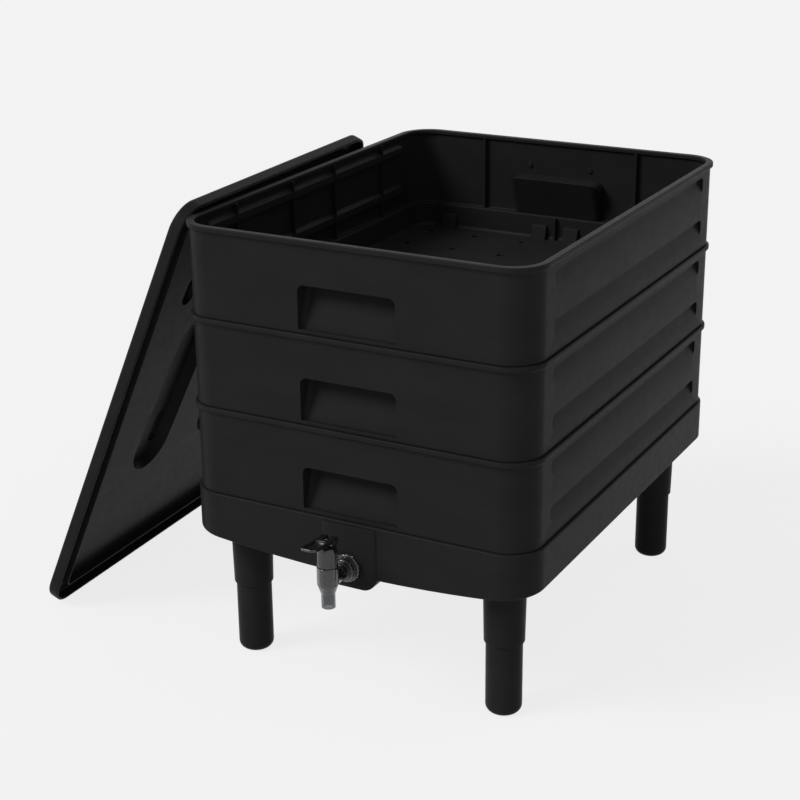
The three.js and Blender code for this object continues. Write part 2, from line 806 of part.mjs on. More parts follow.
// The shapes pressed up through the lid on one side: a long bar with a slot on it, and a short eye.
function lidPressings(side, grow, low) {
  const turn = side * lidBarTiltDegrees;
  return [
    [lidBarWidth, lidBarLength, lidBarDraft, lidBarStand, lidBarPlace, -lidBarDrop],
    [lidSlotWidth, lidSlotLength, lidSlotDraft, lidBarStand + lidSlotStand, lidSlotPlace, -lidSlotDrop],
    [lidEyeWidth, lidEyeLength, lidEyeDraft, lidEyeStand, lidEyePlace, lidEyeRise],
  ].map(([width, length, draft, stand, x, y]) => (
    stadium(width + 2 * grow, length + 2 * grow, draft, low, stand + grow, side * x, y, turn)));
}

function lidSolid() {
  const ridge = lidEndOverhang + skirtInset;
  const shell = solidOf(sweptShell(lidWidth, lidLength, lidCornerRadius, [
    [ridge + lidRidgeThickness, -lidPlate],
    [ridge + lidRidgeThickness, -lidPlate - lidRidgeDepth],
    [ridge, -lidPlate - lidRidgeDepth],
    [ridge, -lidPlate],
    [lidWall, -lidPlate],
    [lidWall, -lidSkirt],
    [0, -lidSkirt],
    [0, -lidEdge],
    [lidEdge, 0],
  ]));
  const raised = [1, -1].flatMap((side) => lidPressings(side, 0, -lidPlate / 2));
  const pressed = [1, -1].flatMap((side) => lidPressings(side, -lidPlate, -lidPlate - cutOverrun));
  return cut(join([shell, ...raised]), pressed);
}

// Where the leaning lid rests: the round of its skirt lies on the top rim where the rim's corner starts. A
// lid too short for that rests its end on the wall below. The reach runs from its foot, the side from its
// near side.
function lidRest() {
  const turn = lidRestDegrees * Math.PI / 180;
  const leastLean = lidLeastLeanDegrees * Math.PI / 180;
  const radius = lidCornerRadius - lidWall + seatGap;
  const rimTop = rimLevels[rimLevels.length - 1];
  const reach = lidLength - lidCornerRadius + radius * Math.sin(turn);
  if (reach * Math.cos(leastLean) > rimTop) {
    const side = lidCornerRadius - radius * Math.cos(turn);
    return { lean: Math.acos(rimTop / reach), reach, side, standOut: rimBead };
  }
  const standOut = lidLength * Math.cos(leastLean) > rimTop - rimBeadHeight - rimFlareHeight ? rimBead : 0;
  return { lean: leastLean, reach: lidLength, side: lidCornerRadius, standOut };
}

// The closed lid's frame turned to its leaning place, its lower skirt standing on the floor.
function leanLid(mesh) {
  const { lean, reach, side, standOut } = lidRest();
  const [sin, cos] = [Math.sin(lean), Math.cos(lean)];
  const turn = lidTurnDegrees * Math.PI / 180;
  const across = new THREE.Vector3(Math.sin(turn), -Math.cos(turn), 0);
  const inward = new THREE.Vector3(Math.cos(turn), Math.sin(turn), 0);
  const up = new THREE.Vector3(0, 0, cos).addScaledVector(inward, sin);
  const outward = new THREE.Vector3(0, 0, sin).addScaledVector(inward, -cos);
  mesh.quaternion.setFromRotationMatrix(new THREE.Matrix4().makeBasis(across, up, outward));
  mesh.position.set(-stackWidth / 2 - standOut, cornerRadius - stackDepth / 2, reach * cos)
    .addScaledVector(inward, -seatGap / cos)
    .addScaledVector(across, side - lidWidth / 2)
    .addScaledVector(up, lidLength / 2 - reach)
    .addScaledVector(outward, lidSkirt);
}

// Finishes.
const blackPlastic = new THREE.MeshStandardMaterial({ color: 0x1d1e1f, roughness: 0.42, metalness: 0 });
const legPlastic = new THREE.MeshStandardMaterial({ color: 0x202020, roughness: 0.35, metalness: 0 });
const smokyPlastic = new THREE.MeshStandardMaterial({ color: 0x565b5f, roughness: 0.2, metalness: 0 });
const tapPlastic = new THREE.MeshStandardMaterial({ color: 0x161718, roughness: 0.3, metalness: 0 });
const rubber = new THREE.MeshStandardMaterial({ color: 0x111111, roughness: 0.8, metalness: 0 });
const silicone = new THREE.MeshStandardMaterial({ color: 0xb9bbb8, roughness: 0.6, metalness: 0 });
const steel = new THREE.MeshStandardMaterial({ color: 0xb4b6b8, roughness: 0.3, metalness: 1 });

const wormery = new THREE.Group();

function place(name, geometry, material, x = 0, y = 0, z = 0) {
  const mesh = new THREE.Mesh(geometry, material);
  mesh.name = name;
  mesh.position.set(x, y, z);
  wormery.add(mesh);
  return mesh;
}

leanLid(place('lid', geometryOf(lidSolid()), blackPlastic));

const tray = geometryOf(traySolid());
trayNames.forEach((name, layer) => {
  place(name, tray, blackPlastic, 0, 0, rimLevels[layer]);
});

place('base', geometryOf(sumpSolid()), blackPlastic);

const leg = geometryOf(legSolid());
place('leg_front_left', leg, legPlastic, -legX, -legY);
place('leg_front_right', leg, legPlastic, legX, -legY);
place('leg_back_left', leg, legPlastic, -legX, legY);
place('leg_back_right', leg, legPlastic, legX, legY);

place('tap_body', geometryOf(tapBodySolid()), smokyPlastic);
place('tap_bonnet', geometryOf(bonnetSolid()), tapPlastic);
place('tap_lever', geometryOf(leverSolid()), tapPlastic);
place('tap_pin', geometryOf(pinSolid()), steel);
place('tap_stem', geometryOf(stemSolid()), tapPlastic);
place('tap_plug', geometryOf(plugSolid()), silicone);
place('tap_spring', geometryOf(springSolid()), steel);
place('tap_washer_outer', geometryOf(washerSolid(flangeBack + seatGap)), rubber);
place('tap_washer_inner', geometryOf(washerSolid(bossFace + wellWall + seatGap)), rubber);
place('tap_nut', geometryOf(nutSolid()), tapPlastic);

// The middle of the whole footprint goes to the origin.
wormery.updateMatrixWorld(true);
const footprint = new THREE.Box3().setFromObject(wormery, true);
for (const piece of wormery.children) {
  piece.position.x -= (footprint.min.x + footprint.max.x) / 2;
  piece.position.y -= (footprint.min.y + footprint.max.y) / 2;
}

export default wormery;
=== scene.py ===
"""Stacking wormery: three working trays on a sump with legs and a lever tap, and its lid leaning beside it.

Shapes are made in the stack's own millimetres, with its middle at 0, 0 and the floor at height 0, and they are
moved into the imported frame, in metres, when a piece is finished.
"""

import logging
import math
from contextlib import contextmanager
from dataclasses import dataclass
from enum import Enum
from typing import Callable, Iterable, Iterator, Mapping, Sequence

import bmesh
import bpy
from mathutils import Matrix, Vector


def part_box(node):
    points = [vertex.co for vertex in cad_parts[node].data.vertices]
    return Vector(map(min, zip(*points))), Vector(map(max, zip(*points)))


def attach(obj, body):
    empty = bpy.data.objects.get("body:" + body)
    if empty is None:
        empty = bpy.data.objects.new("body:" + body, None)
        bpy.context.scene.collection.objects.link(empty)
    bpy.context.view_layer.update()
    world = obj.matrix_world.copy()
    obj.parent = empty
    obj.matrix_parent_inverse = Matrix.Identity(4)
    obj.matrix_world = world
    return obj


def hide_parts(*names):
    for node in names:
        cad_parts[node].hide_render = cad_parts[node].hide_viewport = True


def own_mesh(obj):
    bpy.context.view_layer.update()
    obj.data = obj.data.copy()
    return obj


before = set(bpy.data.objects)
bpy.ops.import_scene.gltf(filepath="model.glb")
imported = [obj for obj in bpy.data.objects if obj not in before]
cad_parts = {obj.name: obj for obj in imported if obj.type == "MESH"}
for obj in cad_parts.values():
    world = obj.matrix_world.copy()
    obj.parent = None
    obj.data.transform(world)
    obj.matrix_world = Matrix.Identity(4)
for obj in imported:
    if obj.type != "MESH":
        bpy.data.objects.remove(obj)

log = logging.getLogger("wormery")
Point = tuple[float, float]
Spot = tuple[float, float, float]
Colour = tuple[float, float, float]
Socket = bpy.types.NodeSocket
Material = bpy.types.Material
Piece = bpy.types.Object
MILLIMETRE = 0.001

# Corners nearer than these distances, in millimetres, become one: in a new shape, a moved one and a finished one.
MERGED_NEW = 0.002
MERGED_MOVED = 0.0005
MERGED_LAST = 0.004

# Faces that differ by less than this turn, in degrees, count as one flat face.
FLAT = 0.6


class Axis(Enum):
    """The direction that a prism runs along."""

    ACROSS = 0
    ALONG = 1
    UP = 2


class Join(Enum):
    """How two solids are put together."""

    ADD = "UNION"
    CUT = "DIFFERENCE"
    KEEP_SHARED = "INTERSECT"


def rgba(colour: Colour) -> tuple[float, ...]:
    """A colour with full opacity."""
    return (*colour, 1.0)


def stack_middle() -> Vector:
    """Place of the stack's middle on the floor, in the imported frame's metres."""
    low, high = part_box("tray_top")
    return Vector(((low.x + high.x) / 2, (low.y + high.y) / 2, 0.0))


def rim_level(node: str) -> float:
    """Height of a tray's rim above the floor in millimetres."""
    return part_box(node)[1].z / MILLIMETRE


@contextmanager
def edited(mesh: bpy.types.Mesh) -> Iterator[bmesh.types.BMesh]:
    """Opens a mesh for editing and writes it back.

    Args:
        mesh: the mesh.

    Returns:
        The mesh's corners, edges and faces, open for changes.
    """
    work = bmesh.new()
    work.from_mesh(mesh)
    yield work
    work.to_mesh(mesh)
    work.free()


def merge(work: bmesh.types.BMesh, distance: float) -> None:
    """Merges corners that are nearer than a distance and drops what collapses."""
    bmesh.ops.remove_doubles(work, verts=work.verts, dist=distance)
    bmesh.ops.dissolve_degenerate(work, edges=work.edges, dist=distance)


def linked(name: str, data: bpy.types.ID) -> Piece:
    """Makes an object for some data and puts it in the scene.

    Args:
        name: its name.
        data: its mesh, lamp or camera.

    Returns:
        The object.
    """
    made = bpy.data.objects.new(name, data)
    bpy.context.scene.collection.objects.link(made)
    return made


def as_mesh(carrier: Piece) -> bpy.types.Mesh:
    """A plain mesh of what an object's modifiers make."""
    return bpy.data.meshes.new_from_object(carrier.evaluated_get(bpy.context.evaluated_depsgraph_get()))


class Solid:
    """A closed body in the making, as a mesh in millimetres."""

    def __init__(self, mesh: bpy.types.Mesh, merged: float | None = None) -> None:
        """Takes the mesh that it wraps and cleans it.

        Args:
            mesh: the body's mesh.
            merged: how near two corners are to become one; without it the mesh stays as it is.
        """
        self.mesh = mesh
        if merged is not None:
            with edited(mesh) as work:
                merge(work, merged)
                bmesh.ops.recalc_face_normals(work, faces=work.faces)

    @classmethod
    def of(cls, points: Sequence[Spot], faces: Sequence[Sequence[int]]) -> "Solid":
        """Makes a solid from its corners and faces, with its faces turned outwards.

        Args:
            points: its corners, in millimetres.
            faces: each face as the numbers of its corners.

        Returns:
            The solid.
        """
        mesh = bpy.data.meshes.new("solid")
        mesh.from_pydata(points, [], faces)
        return cls(mesh, MERGED_NEW)

    def with_solid(self, other: "Solid", how: Join) -> "Solid":
        """Combines the solid with another one.

        Args:
            other: the second solid.
            how: whether it is added, cut away, or only the shared part is kept.

        Returns:
            The combined solid.
        """
        target, tool = linked("work", self.mesh), linked("tool", other.mesh)
        modifier = target.modifiers.new("combine", "BOOLEAN")
        modifier.operation = how.value
        modifier.solver = "MANIFOLD"
        modifier.object = tool
        made = Solid(as_mesh(target))
        for used in (target, tool):
            bpy.data.objects.remove(used)
        return made

    def plus(self, *others: "Solid") -> "Solid":
        """Adds the other solids, one after another.

        Args:
            others: the solids that are added.

        Returns:
            The whole as one solid.
        """
        made = self
        for other in others:
            made = made.with_solid(other, Join.ADD)
        return made

    def minus(self, *others: "Solid") -> "Solid":
        """Cuts the other solids away, one after another.

        Args:
            others: the solids that are cut away.

        Returns:
            What is left.
        """
        made = self
        for other in others:
            made = made.with_solid(other, Join.CUT)
        return made

    def within(self, other: "Solid") -> "Solid":
        """Keeps only what the two solids share."""
        return self.with_solid(other, Join.KEEP_SHARED)

    def rounded(self, width: float, segments: int = 3, angle: float = 40.0) -> "Solid":
        """Rounds the solid's sharp edges.

        Args:
            width: how far the round reaches from the edge, in millimetres.
            segments: how many faces make it.
            angle: the least turn of an edge that gets it, in degrees.

        Returns:
            The rounded solid.
        """
        mesh = self.mesh.copy()
        with edited(mesh) as work:
            bmesh.ops.dissolve_limit(work, angle_limit=math.radians(FLAT), verts=work.verts, edges=work.edges)
            sharp = [e for e in work.edges if len(e.link_faces) == 2 and e.calc_face_angle(0) > math.radians(angle)]
            bmesh.ops.bevel(work, geom=sharp, offset=width, segments=segments, profile=0.5, affect="EDGES",
                            offset_type="OFFSET", clamp_overlap=True)
        return Solid(mesh, MERGED_NEW)

    def moved(self, matrix: Matrix) -> "Solid":
        """Returns a copy put through a matrix, with its faces still pointing outwards.

        Args:
            matrix: the movement, in millimetres.

        Returns:
            The moved copy.
        """
        mesh = self.mesh.copy()
        mesh.transform(matrix)
        return Solid(mesh, MERGED_MOVED)

    def shifted(self, x: float = 0.0, y: float = 0.0, z: float = 0.0) -> "Solid":
        """Returns a copy moved by the given distances."""
        return self.moved(Matrix.Translation((x, y, z)))

    def turned(self, degrees: float, axis: str) -> "Solid":
        """Returns a copy turned about one of the axes."""
        return self.moved(Matrix.Rotation(math.radians(degrees), 4, axis))

    def mirrored(self, axis: Axis) -> "Solid":
        """Returns the mirror image across the stack's middle.

        Args:
            axis: the direction that changes sides.

        Returns:
            The mirror image.
        """
        signs = [1.0, 1.0, 1.0, 1.0]
        signs[axis.value] = -1.0
        return self.moved(Matrix.Diagonal(signs))

    def both(self, axis: Axis) -> list["Solid"]:
        """Returns the solid and its mirror image."""
        return [self, self.mirrored(axis)]

    def finished(self, name: str, finish: Material, body: str, slot: str, node: str,
                 angle: float = 48.0) -> Piece:
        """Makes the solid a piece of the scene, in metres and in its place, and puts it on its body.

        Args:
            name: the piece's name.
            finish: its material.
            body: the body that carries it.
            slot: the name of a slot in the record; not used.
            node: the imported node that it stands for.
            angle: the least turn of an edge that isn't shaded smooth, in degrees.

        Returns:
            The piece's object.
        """
        mesh = self.mesh.copy()
        with edited(mesh) as work:
            merge(work, MERGED_LAST)
            bmesh.ops.triangulate(work, faces=[face for face in work.faces if len(face.verts) > 4])
            bmesh.ops.join_triangles(work, faces=work.faces, angle_face_threshold=math.radians(FLAT),
                                     angle_shape_threshold=math.radians(40))
            bmesh.ops.recalc_face_normals(work, faces=work.faces)
            for face in work.faces:
                face.smooth = True
                face.material_index = 0
            for line in work.edges:
                line.smooth = line.calc_face_angle(0) < math.radians(angle)
        mesh.name = name
        mesh.transform(Matrix.Translation(stack_middle()) @ Matrix.Scale(MILLIMETRE, 4))
        mesh.materials.clear()
        mesh.materials.append(finish)
        piece = linked(name, mesh)
        even = piece.modifiers.new("even shading", "WEIGHTED_NORMAL")
        even.mode = "FACE_AREA"
        even.keep_sharp = True
        even.weight = 70
        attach(piece, body)
        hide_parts(node)
        return piece


def rounded_rectangle(width: float, height: float, radii: float | Sequence[float], steps: int = 6) -> list[Point]:
    """Outline of a rectangle with rounded corners, anticlockwise from the lower left.

    Args:
        width: its whole width.
        height: its whole height.
        radii: one radius, or four from the lower left, anticlockwise.
        steps: segments of each rounded corner.

    Returns:
        The outline's points.
    """
    four = list(radii) if isinstance(radii, Sequence) else [radii] * 4
    signs = ((-1, -1), (1, -1), (1, 1), (-1, 1))
    points: list[Point] = []
    for corner, ((sx, sy), radius) in enumerate(zip(signs, four)):
        cx, cy = sx * (width / 2 - radius), sy * (height / 2 - radius)
        count = steps if radius > 0 else 0
        for step in range(count + 1):
            turn = math.pi * (1 + corner / 2) + (step / steps) * math.pi / 2
            points.append((cx + radius * math.cos(turn), cy + radius * math.sin(turn)))
    return points


def filleted(corners: Sequence[Spot], steps: int = 4) -> list[Point]:
    """Rounds the corners of an open line.

    Args:
        corners: across, up and the radius of the rounding at each corner.
        steps: segments of each rounding.

    Returns:
        The line's points.
    """
    line: list[Point] = [corners[0][:2]]
    for before, here, after in zip(corners, corners[1:], corners[2:]):
        at = Vector(here[:2])
        back, on = Vector(before[:2]) - at, Vector(after[:2]) - at
        if here[2] <= 0:
            line.append(tuple(at))
            continue
        half = back.angle(on) / 2
        reach = min(here[2] / math.tan(half), 0.49 * back.length, 0.49 * on.length)
        radius = reach * math.tan(half)
        centre = at + (back.normalized() + on.normalized()).normalized() * (radius / math.sin(half))
        start, end = at + back.normalized() * reach - centre, at + on.normalized() * reach - centre
        sweep = start.angle(end)
        for step in range(steps + 1):
            share = step / steps
            arm = (start * math.sin((1 - share) * sweep) + end * math.sin(share * sweep)) / math.sin(sweep)
            line.append(tuple(centre + arm))
    line.append(corners[-1][:2])
    return line


def prism(outline: Sequence[Point], axis: Axis, low: float, high: float, draft: Point = (1.0, 1.0)) -> Solid:
    """Runs an outline along an axis.

    Args:
        outline: points across the axis: x and y for UP, y and z for ACROSS, x and z for ALONG.
        axis: the direction that it runs along.
        low: where it starts.
        high: where it ends.
        draft: how much the far end is scaled in the outline's two directions.

    Returns:
        The prism.
    """
    place: dict[Axis, Callable[[float, float, float], Spot]] = {
        Axis.UP: lambda a, b, run: (a, b, run),
        Axis.ACROSS: lambda a, b, run: (run, a, b),
        Axis.ALONG: lambda a, b, run: (a, run, b),
    }
    put = place[axis]
    count = len(outline)
    points = [put(a, b, low) for a, b in outline] + [put(a * draft[0], b * draft[1], high) for a, b in outline]
    faces = [list(range(count)), list(range(2 * count - 1, count - 1, -1))]
    faces += [[i, i + count, (i + 1) % count + count, (i + 1) % count] for i in range(count)]
    return Solid.of(points, faces)


def block(low: Spot, high: Spot) -> Solid:
    """A box between two corners."""
    (x0, y0, z0), (x1, y1, z1) = low, high
    return prism([(x0, y0), (x1, y0), (x1, y1), (x0, y1)], Axis.UP, z0, z1)


def skin(rows: Sequence[Sequence[Spot]], capped: bool) -> Solid:
    """Joins rows of points, each closed on itself, into a solid.

    Args:
        rows: the rows, all with the same number of points.
        capped: whether the first row and the last one get a face.

    Returns:
        The solid.
    """
    count, points = len(rows[0]), [spot for row in rows for spot in row]
    last = len(points)
    faces = [list(range(count)), list(range(last - 1, last - count - 1, -1))] if capped else []
    for start in range(0, last - count, count):
        for side in range(count):
            on = (side + 1) % count
            faces.append([start + side, start + on, start + count + on, start + count + side])
    return Solid.of(points, faces)


def lathe(profile: Sequence[Point], sides: int = 48) -> Solid:
    """A round piece standing on the vertical axis.

    Args:
        profile: radius and height pairs round the section, from the axis or back to its own start.
        sides: segments round the axis.

    Returns:
        The turned solid.
    """
    turns = [2 * math.pi * side / sides for side in range(sides)]
    return skin([[(radius * math.cos(turn), radius * math.sin(turn), height) for turn in turns]
                 for radius, height in profile], False)


def lying(solid: Solid) -> Solid:
    """Turns a lathed piece so that its axis runs along the stack, its top towards the back."""
    return solid.turned(-90, "X")


def swept(plan: Callable[[float], Sequence[Point]], profile: Sequence[Point]) -> Solid:
    """Sweeps a profile round a plan and closes it at both ends.

    Args:
        plan: gives the plan's points at an inset, always in the same number.
        profile: inset and height pairs.

    Returns:
        The moulding.
    """
    return skin([[(x, y, height) for x, y in plan(inset)] for inset, height in profile], True)


class Graph:
    """Adds nodes to a node tree."""

    def __init__(self, tree: bpy.types.NodeTree) -> None:
        """Takes the tree that the nodes go into."""
        self.tree = tree

    def fill(self, node: bpy.types.Node, inputs: Mapping[str | int, object]) -> None:
        """Gives a node's inputs, by name or number, a value or another node's output.

        Args:
            node: the node.
            inputs: what each input gets.
        """
        for label, value in inputs.items():
            if isinstance(value, Socket):
                self.tree.links.new(value, node.inputs[label])
            else:
                node.inputs[label].default_value = value

    def node(self, kind: str, inputs: Mapping[str | int, object] | None = None, **settings: object) -> bpy.types.Node:
        """Adds a node.

        Args:
            kind: the node's type.
            inputs: values or output sockets for its inputs, by name or number.
            settings: its own settings.

        Returns:
            The node.
        """
        made = self.tree.nodes.new(kind)
        for setting, value in settings.items():
            setattr(made, setting, value)
        self.fill(made, inputs or {})
        return made

    def maths(self, operation: str, first: object, second: object) -> Socket:
        """The result of an operation on two values, such as MULTIPLY."""
        return self.node("ShaderNodeMath", {0: first, 1: second}, operation=operation).outputs[0]

    def background_rays(self) -> Socket:
        """A value that is 1 for rays which show the background: from the camera, in gloss and through the tap.

        Returns:
            The value's socket.
        """
        path = self.node("ShaderNodeLightPath").outputs
        either = self.maths("MAXIMUM", path["Is Camera Ray"], path["Is Glossy Ray"])
        return self.maths("MAXIMUM", either, path["Is Transmission Ray"])


class Tree(Graph):
    """A geometry nodes tree with named inputs, which is run once and leaves a plain mesh."""

    def __init__(self, name: str, sizes: Mapping[str, float | int]) -> None:
        """Makes the tree's inputs.

        Args:
            name: what the tree makes.
            sizes: its inputs by name, with whole numbers for counts.
        """
        super().__init__(bpy.data.node_groups.new(name, "GeometryNodeTree"))
        self.sizes = dict(sizes)
        self.tree.is_modifier = True
        face = self.tree.interface
        face.new_socket(name="Geometry", in_out="OUTPUT", socket_type="NodeSocketGeometry")
        face.new_socket(name="Geometry", in_out="INPUT", socket_type="NodeSocketGeometry")
        for label, value in self.sizes.items():
            kind = "NodeSocketInt" if isinstance(value, int) else "NodeSocketFloat"
            face.new_socket(name=label, in_out="INPUT", socket_type=kind)
        face.new_socket(name="Finish", in_out="INPUT", socket_type="NodeSocketMaterial")
        self.start = self.node("NodeGroupInput")
        self.end = self.node("NodeGroupOutput")

    def size(self, label: str) -> Socket:
        """The socket of a named input."""
        return self.start.outputs[label]

    def close(self, geometry: Socket) -> None:
        """Ends the tree: instances are made real and get the finish.

        Args:
            geometry: what the tree has made.
        """
        real = self.node("GeometryNodeRealizeInstances", {"Geometry": geometry})
        dressed = self.node("GeometryNodeSetMaterial", {"Geometry": real.outputs[0], "Material": self.size("Finish")})
        self.fill(self.end, {"Geometry": dressed.outputs[0]})

    def run(self, points: Sequence[Spot], finish: Material) -> Solid:
        """Runs the tree on a set of points.

        Args:
            points: where the pieces go, in millimetres.
            finish: the material that the tree sets.

        Returns:
            What the tree made, as a plain mesh.
        """
        mesh = bpy.data.meshes.new("points")
        mesh.from_pydata(list(points), [], [])
        carrier = linked("carrier", mesh)
        modifier = carrier.modifiers.new("repeat", "NODES")
        modifier.node_group = self.tree
        given = {**self.sizes, "Finish": finish}
        for item in self.tree.interface.items_tree:
            if item.item_type == "SOCKET" and item.in_out == "INPUT" and item.name in given:
                modifier[item.identifier] = given[item.name]
        made = as_mesh(carrier)
        carrier.modifiers.remove(modifier)
        bpy.data.objects.remove(carrier)
        return Solid(made, MERGED_MOVED)


def blocks_at(name: str, points: Sequence[Spot], size: Spot, finish: Material) -> Solid:
    """Repeats a small block, such as a rib or the cutter of a drain hole, at every point.

    Args:
        name: what the blocks are.
        points: the blocks' middles, in millimetres.
        size: width, depth and height of one block.
        finish: the material that they carry.

    Returns:
        All the blocks as one solid.
    """
    tree = Tree(name, {"Width": size[0], "Depth": size[1], "Height": size[2]})
    span = tree.node("ShaderNodeCombineXYZ", {"X": tree.size("Width"), "Y": tree.size("Depth"),
                                              "Z": tree.size("Height")})
    cube = tree.node("GeometryNodeMeshCube", {"Size": span.outputs[0]})
    copies = tree.node("GeometryNodeInstanceOnPoints", {"Points": tree.size("Geometry"),
                                                        "Instance": cube.outputs["Mesh"]})
    tree.close(copies.outputs[0])
    return tree.run(points, finish)


def rods_round(name: str, count: int, ring: float, rod: float, length: float, middle: Spot,
               finish: Material) -> Solid:
    """Stands rods in a ring, such as the cutters of a grip's flutes.

    Args:
        name: what the rods are.
        count: how many there are.
        ring: radius of the ring.
        rod: radius of one rod.
        length: length of one rod.
        middle: middle of the ring.
        finish: the material that they carry.

    Returns:
        All the rods as one solid.
    """
    tree = Tree(name, {"Count": count, "Ring": ring, "Rod": rod, "Length": length})
    circle = tree.node("GeometryNodeMeshCircle", {"Vertices": tree.size("Count"), "Radius": tree.size("Ring")})
    stick = tree.node("GeometryNodeMeshCylinder", {"Vertices": 10, "Radius": tree.size("Rod"),
                                                   "Depth": tree.size("Length")})
    copies = tree.node("GeometryNodeInstanceOnPoints", {"Points": circle.outputs[0],
                                                        "Instance": stick.outputs["Mesh"]})
    tree.close(copies.outputs[0])
    return tree.run([(0.0, 0.0, 0.0)], finish).shifted(*middle)


def coil(name: str, turns: float, radius: float, height: float, wire: float, finish: Material) -> Solid:
    """Winds a wire round the vertical axis, from height 0 up.

    Args:
        name: what the coil is.
        turns: how often it goes round.
        radius: radius of its middle line.
        height: how much it rises.
        wire: radius of the wire.
        finish: its material.

    Returns:
        The coil.
    """
    tree = Tree(name, {"Turns": turns, "Radius": radius, "Height": height, "Wire": wire, "Steps": 28})
    line = tree.node("GeometryNodeCurveSpiral", {
        "Resolution": tree.size("Steps"), "Rotations": tree.size("Turns"), "Start Radius": tree.size("Radius"),
        "End Radius": tree.size("Radius"), "Height": tree.size("Height")})
    section = tree.node("GeometryNodeCurvePrimitiveCircle", {"Resolution": 10, "Radius": tree.size("Wire")})
    tube = tree.node("GeometryNodeCurveToMesh", {"Curve": line.outputs[0], "Profile Curve": section.outputs[0],
                                                 "Fill Caps": True})
    tree.close(tube.outputs[0])
    return tree.run([(0.0, 0.0, 0.0)], finish)


class Paint(Graph):
    """The nodes of a material, its marks laid out on the object itself."""

    def __init__(self, name: str, colour: Colour) -> None:
        """Makes the material.

        Args:
            name: its name.
            colour: its plain colour outside renders.
        """
        self.material = bpy.data.materials.new(name)
        self.material.use_nodes = True
        self.material.diffuse_color = rgba(colour)
        super().__init__(self.material.node_tree)
        self.shader = self.tree.nodes["Principled BSDF"]

    def noise(self, size: float, detail: float, stretch: Spot = (1.0, 1.0, 1.0)) -> Socket:
        """A noise whose marks have the given size in metres.

        Args:
            size: size of a mark, in metres.
            detail: how many finer layers it has.
            stretch: how much closer the marks lie in each direction.

        Returns:
            The noise, from 0 to 1.
        """
        place = self.node("ShaderNodeTexCoord").outputs["Object"]
        turn = self.node("ShaderNodeMapping", {"Vector": place, "Scale": stretch})
        texture = {"Vector": turn.outputs[0], "Scale": 1.0 / size, "Detail": detail}
        return self.node("ShaderNodeTexNoise", texture).outputs["Fac"]

    def ranged(self, value: Socket, start: Point, end: Point) -> Socket:
        """Maps a value from one range to another, clamped."""
        return self.node("ShaderNodeMapRange", {"Value": value, "From Min": start[0], "From Max": start[1],
                                                "To Min": end[0], "To Max": end[1]}).outputs[0]

    def blend(self, share: Socket, first: object, second: object) -> Socket:
        """Mixes two colours."""
        return self.node("ShaderNodeMix", {"Factor": share, 6: first, 7: second}, data_type="RGBA").outputs[2]

    def bump(self, height: Socket, strength: float, distance: float,
             below: Socket | None = None) -> Socket:
        """Raises the surface by a height, over the bumps below it if there are any.

        Args:
            height: how high the surface stands, from 0 to 1.
            strength: how strong the bumps are.
            distance: height of the highest bump, in metres.
            below: the bumps that these lie on.

        Returns:
            The surface's new direction.
        """
        inputs: dict[str, object] = {"Height": height, "Strength": strength, "Distance": distance}
        if below is not None:
            inputs["Normal"] = below
        return self.node("ShaderNodeBump", inputs).outputs[0]


@dataclass(frozen=True)
class MouldedFinish:
    """Moulded plastic or rubber: fine grain, faint flow marks, and a little wear along its edges."""

    name: str
    colour: Colour
    shade: Colour
    worn: Colour
    edge_radius: float = 0.0006
    roughness: Point = (0.36, 0.46)
    grain_size: float = 0.0009
    grain_depth: float = 0.00003
    grain_strength: float = 0.35
    flow_size: float = 0.07
    flow_stretch: Spot = (1.0, 1.0, 2.2)
    wave_depth: float = 0.0004
    wave_strength: float = 0.25
    scuff_size: float = 0.012
    wear: float = 0.35
    specular: float = 0.5
    coat: float = 0.0
    coat_roughness: float = 0.08
    clear: float = 0.0

    def build(self) -> Material:
        """Makes the material.

        Returns:
            The material.
        """
        paint = Paint(self.name, self.colour)
        flow = paint.noise(self.flow_size, 3.0, self.flow_stretch)
        scuff = paint.noise(self.scuff_size, 5.0)
        mottled = paint.blend(paint.ranged(flow, (0.35, 0.65), (0.0, 1.0)), rgba(self.colour), rgba(self.shade))
        surface = paint.node("ShaderNodeNewGeometry").outputs
        soft = paint.node("ShaderNodeBevel", {"Radius": self.edge_radius}, samples=4).outputs[0]
        match = paint.node("ShaderNodeVectorMath", {0: soft, 1: surface["Normal"]}, operation="DOT_PRODUCT")
        near_edge = paint.ranged(match.outputs["Value"], (0.99, 0.85), (0.0, self.wear))
        outer = paint.ranged(surface["Pointiness"], (0.5, 0.56), (0.0, 1.0))
        rubbed = paint.maths("MULTIPLY", paint.maths("MULTIPLY", near_edge, outer),
                             paint.ranged(scuff, (0.4, 0.62), (0.25, 1.0)))
        waves = paint.bump(flow, self.wave_strength, self.wave_depth, soft)
        pores = paint.bump(paint.noise(self.grain_size, 2.0), self.grain_strength, self.grain_depth, waves)
        paint.fill(paint.shader, {
            "Base Color": paint.blend(rubbed, mottled, rgba(self.worn)), "Normal": pores,
            "Roughness": paint.ranged(scuff, (0.3, 0.7), self.roughness), "Specular IOR Level": self.specular,
            "Coat Weight": self.coat, "Coat Roughness": self.coat_roughness, "Transmission Weight": self.clear})
        return paint.material


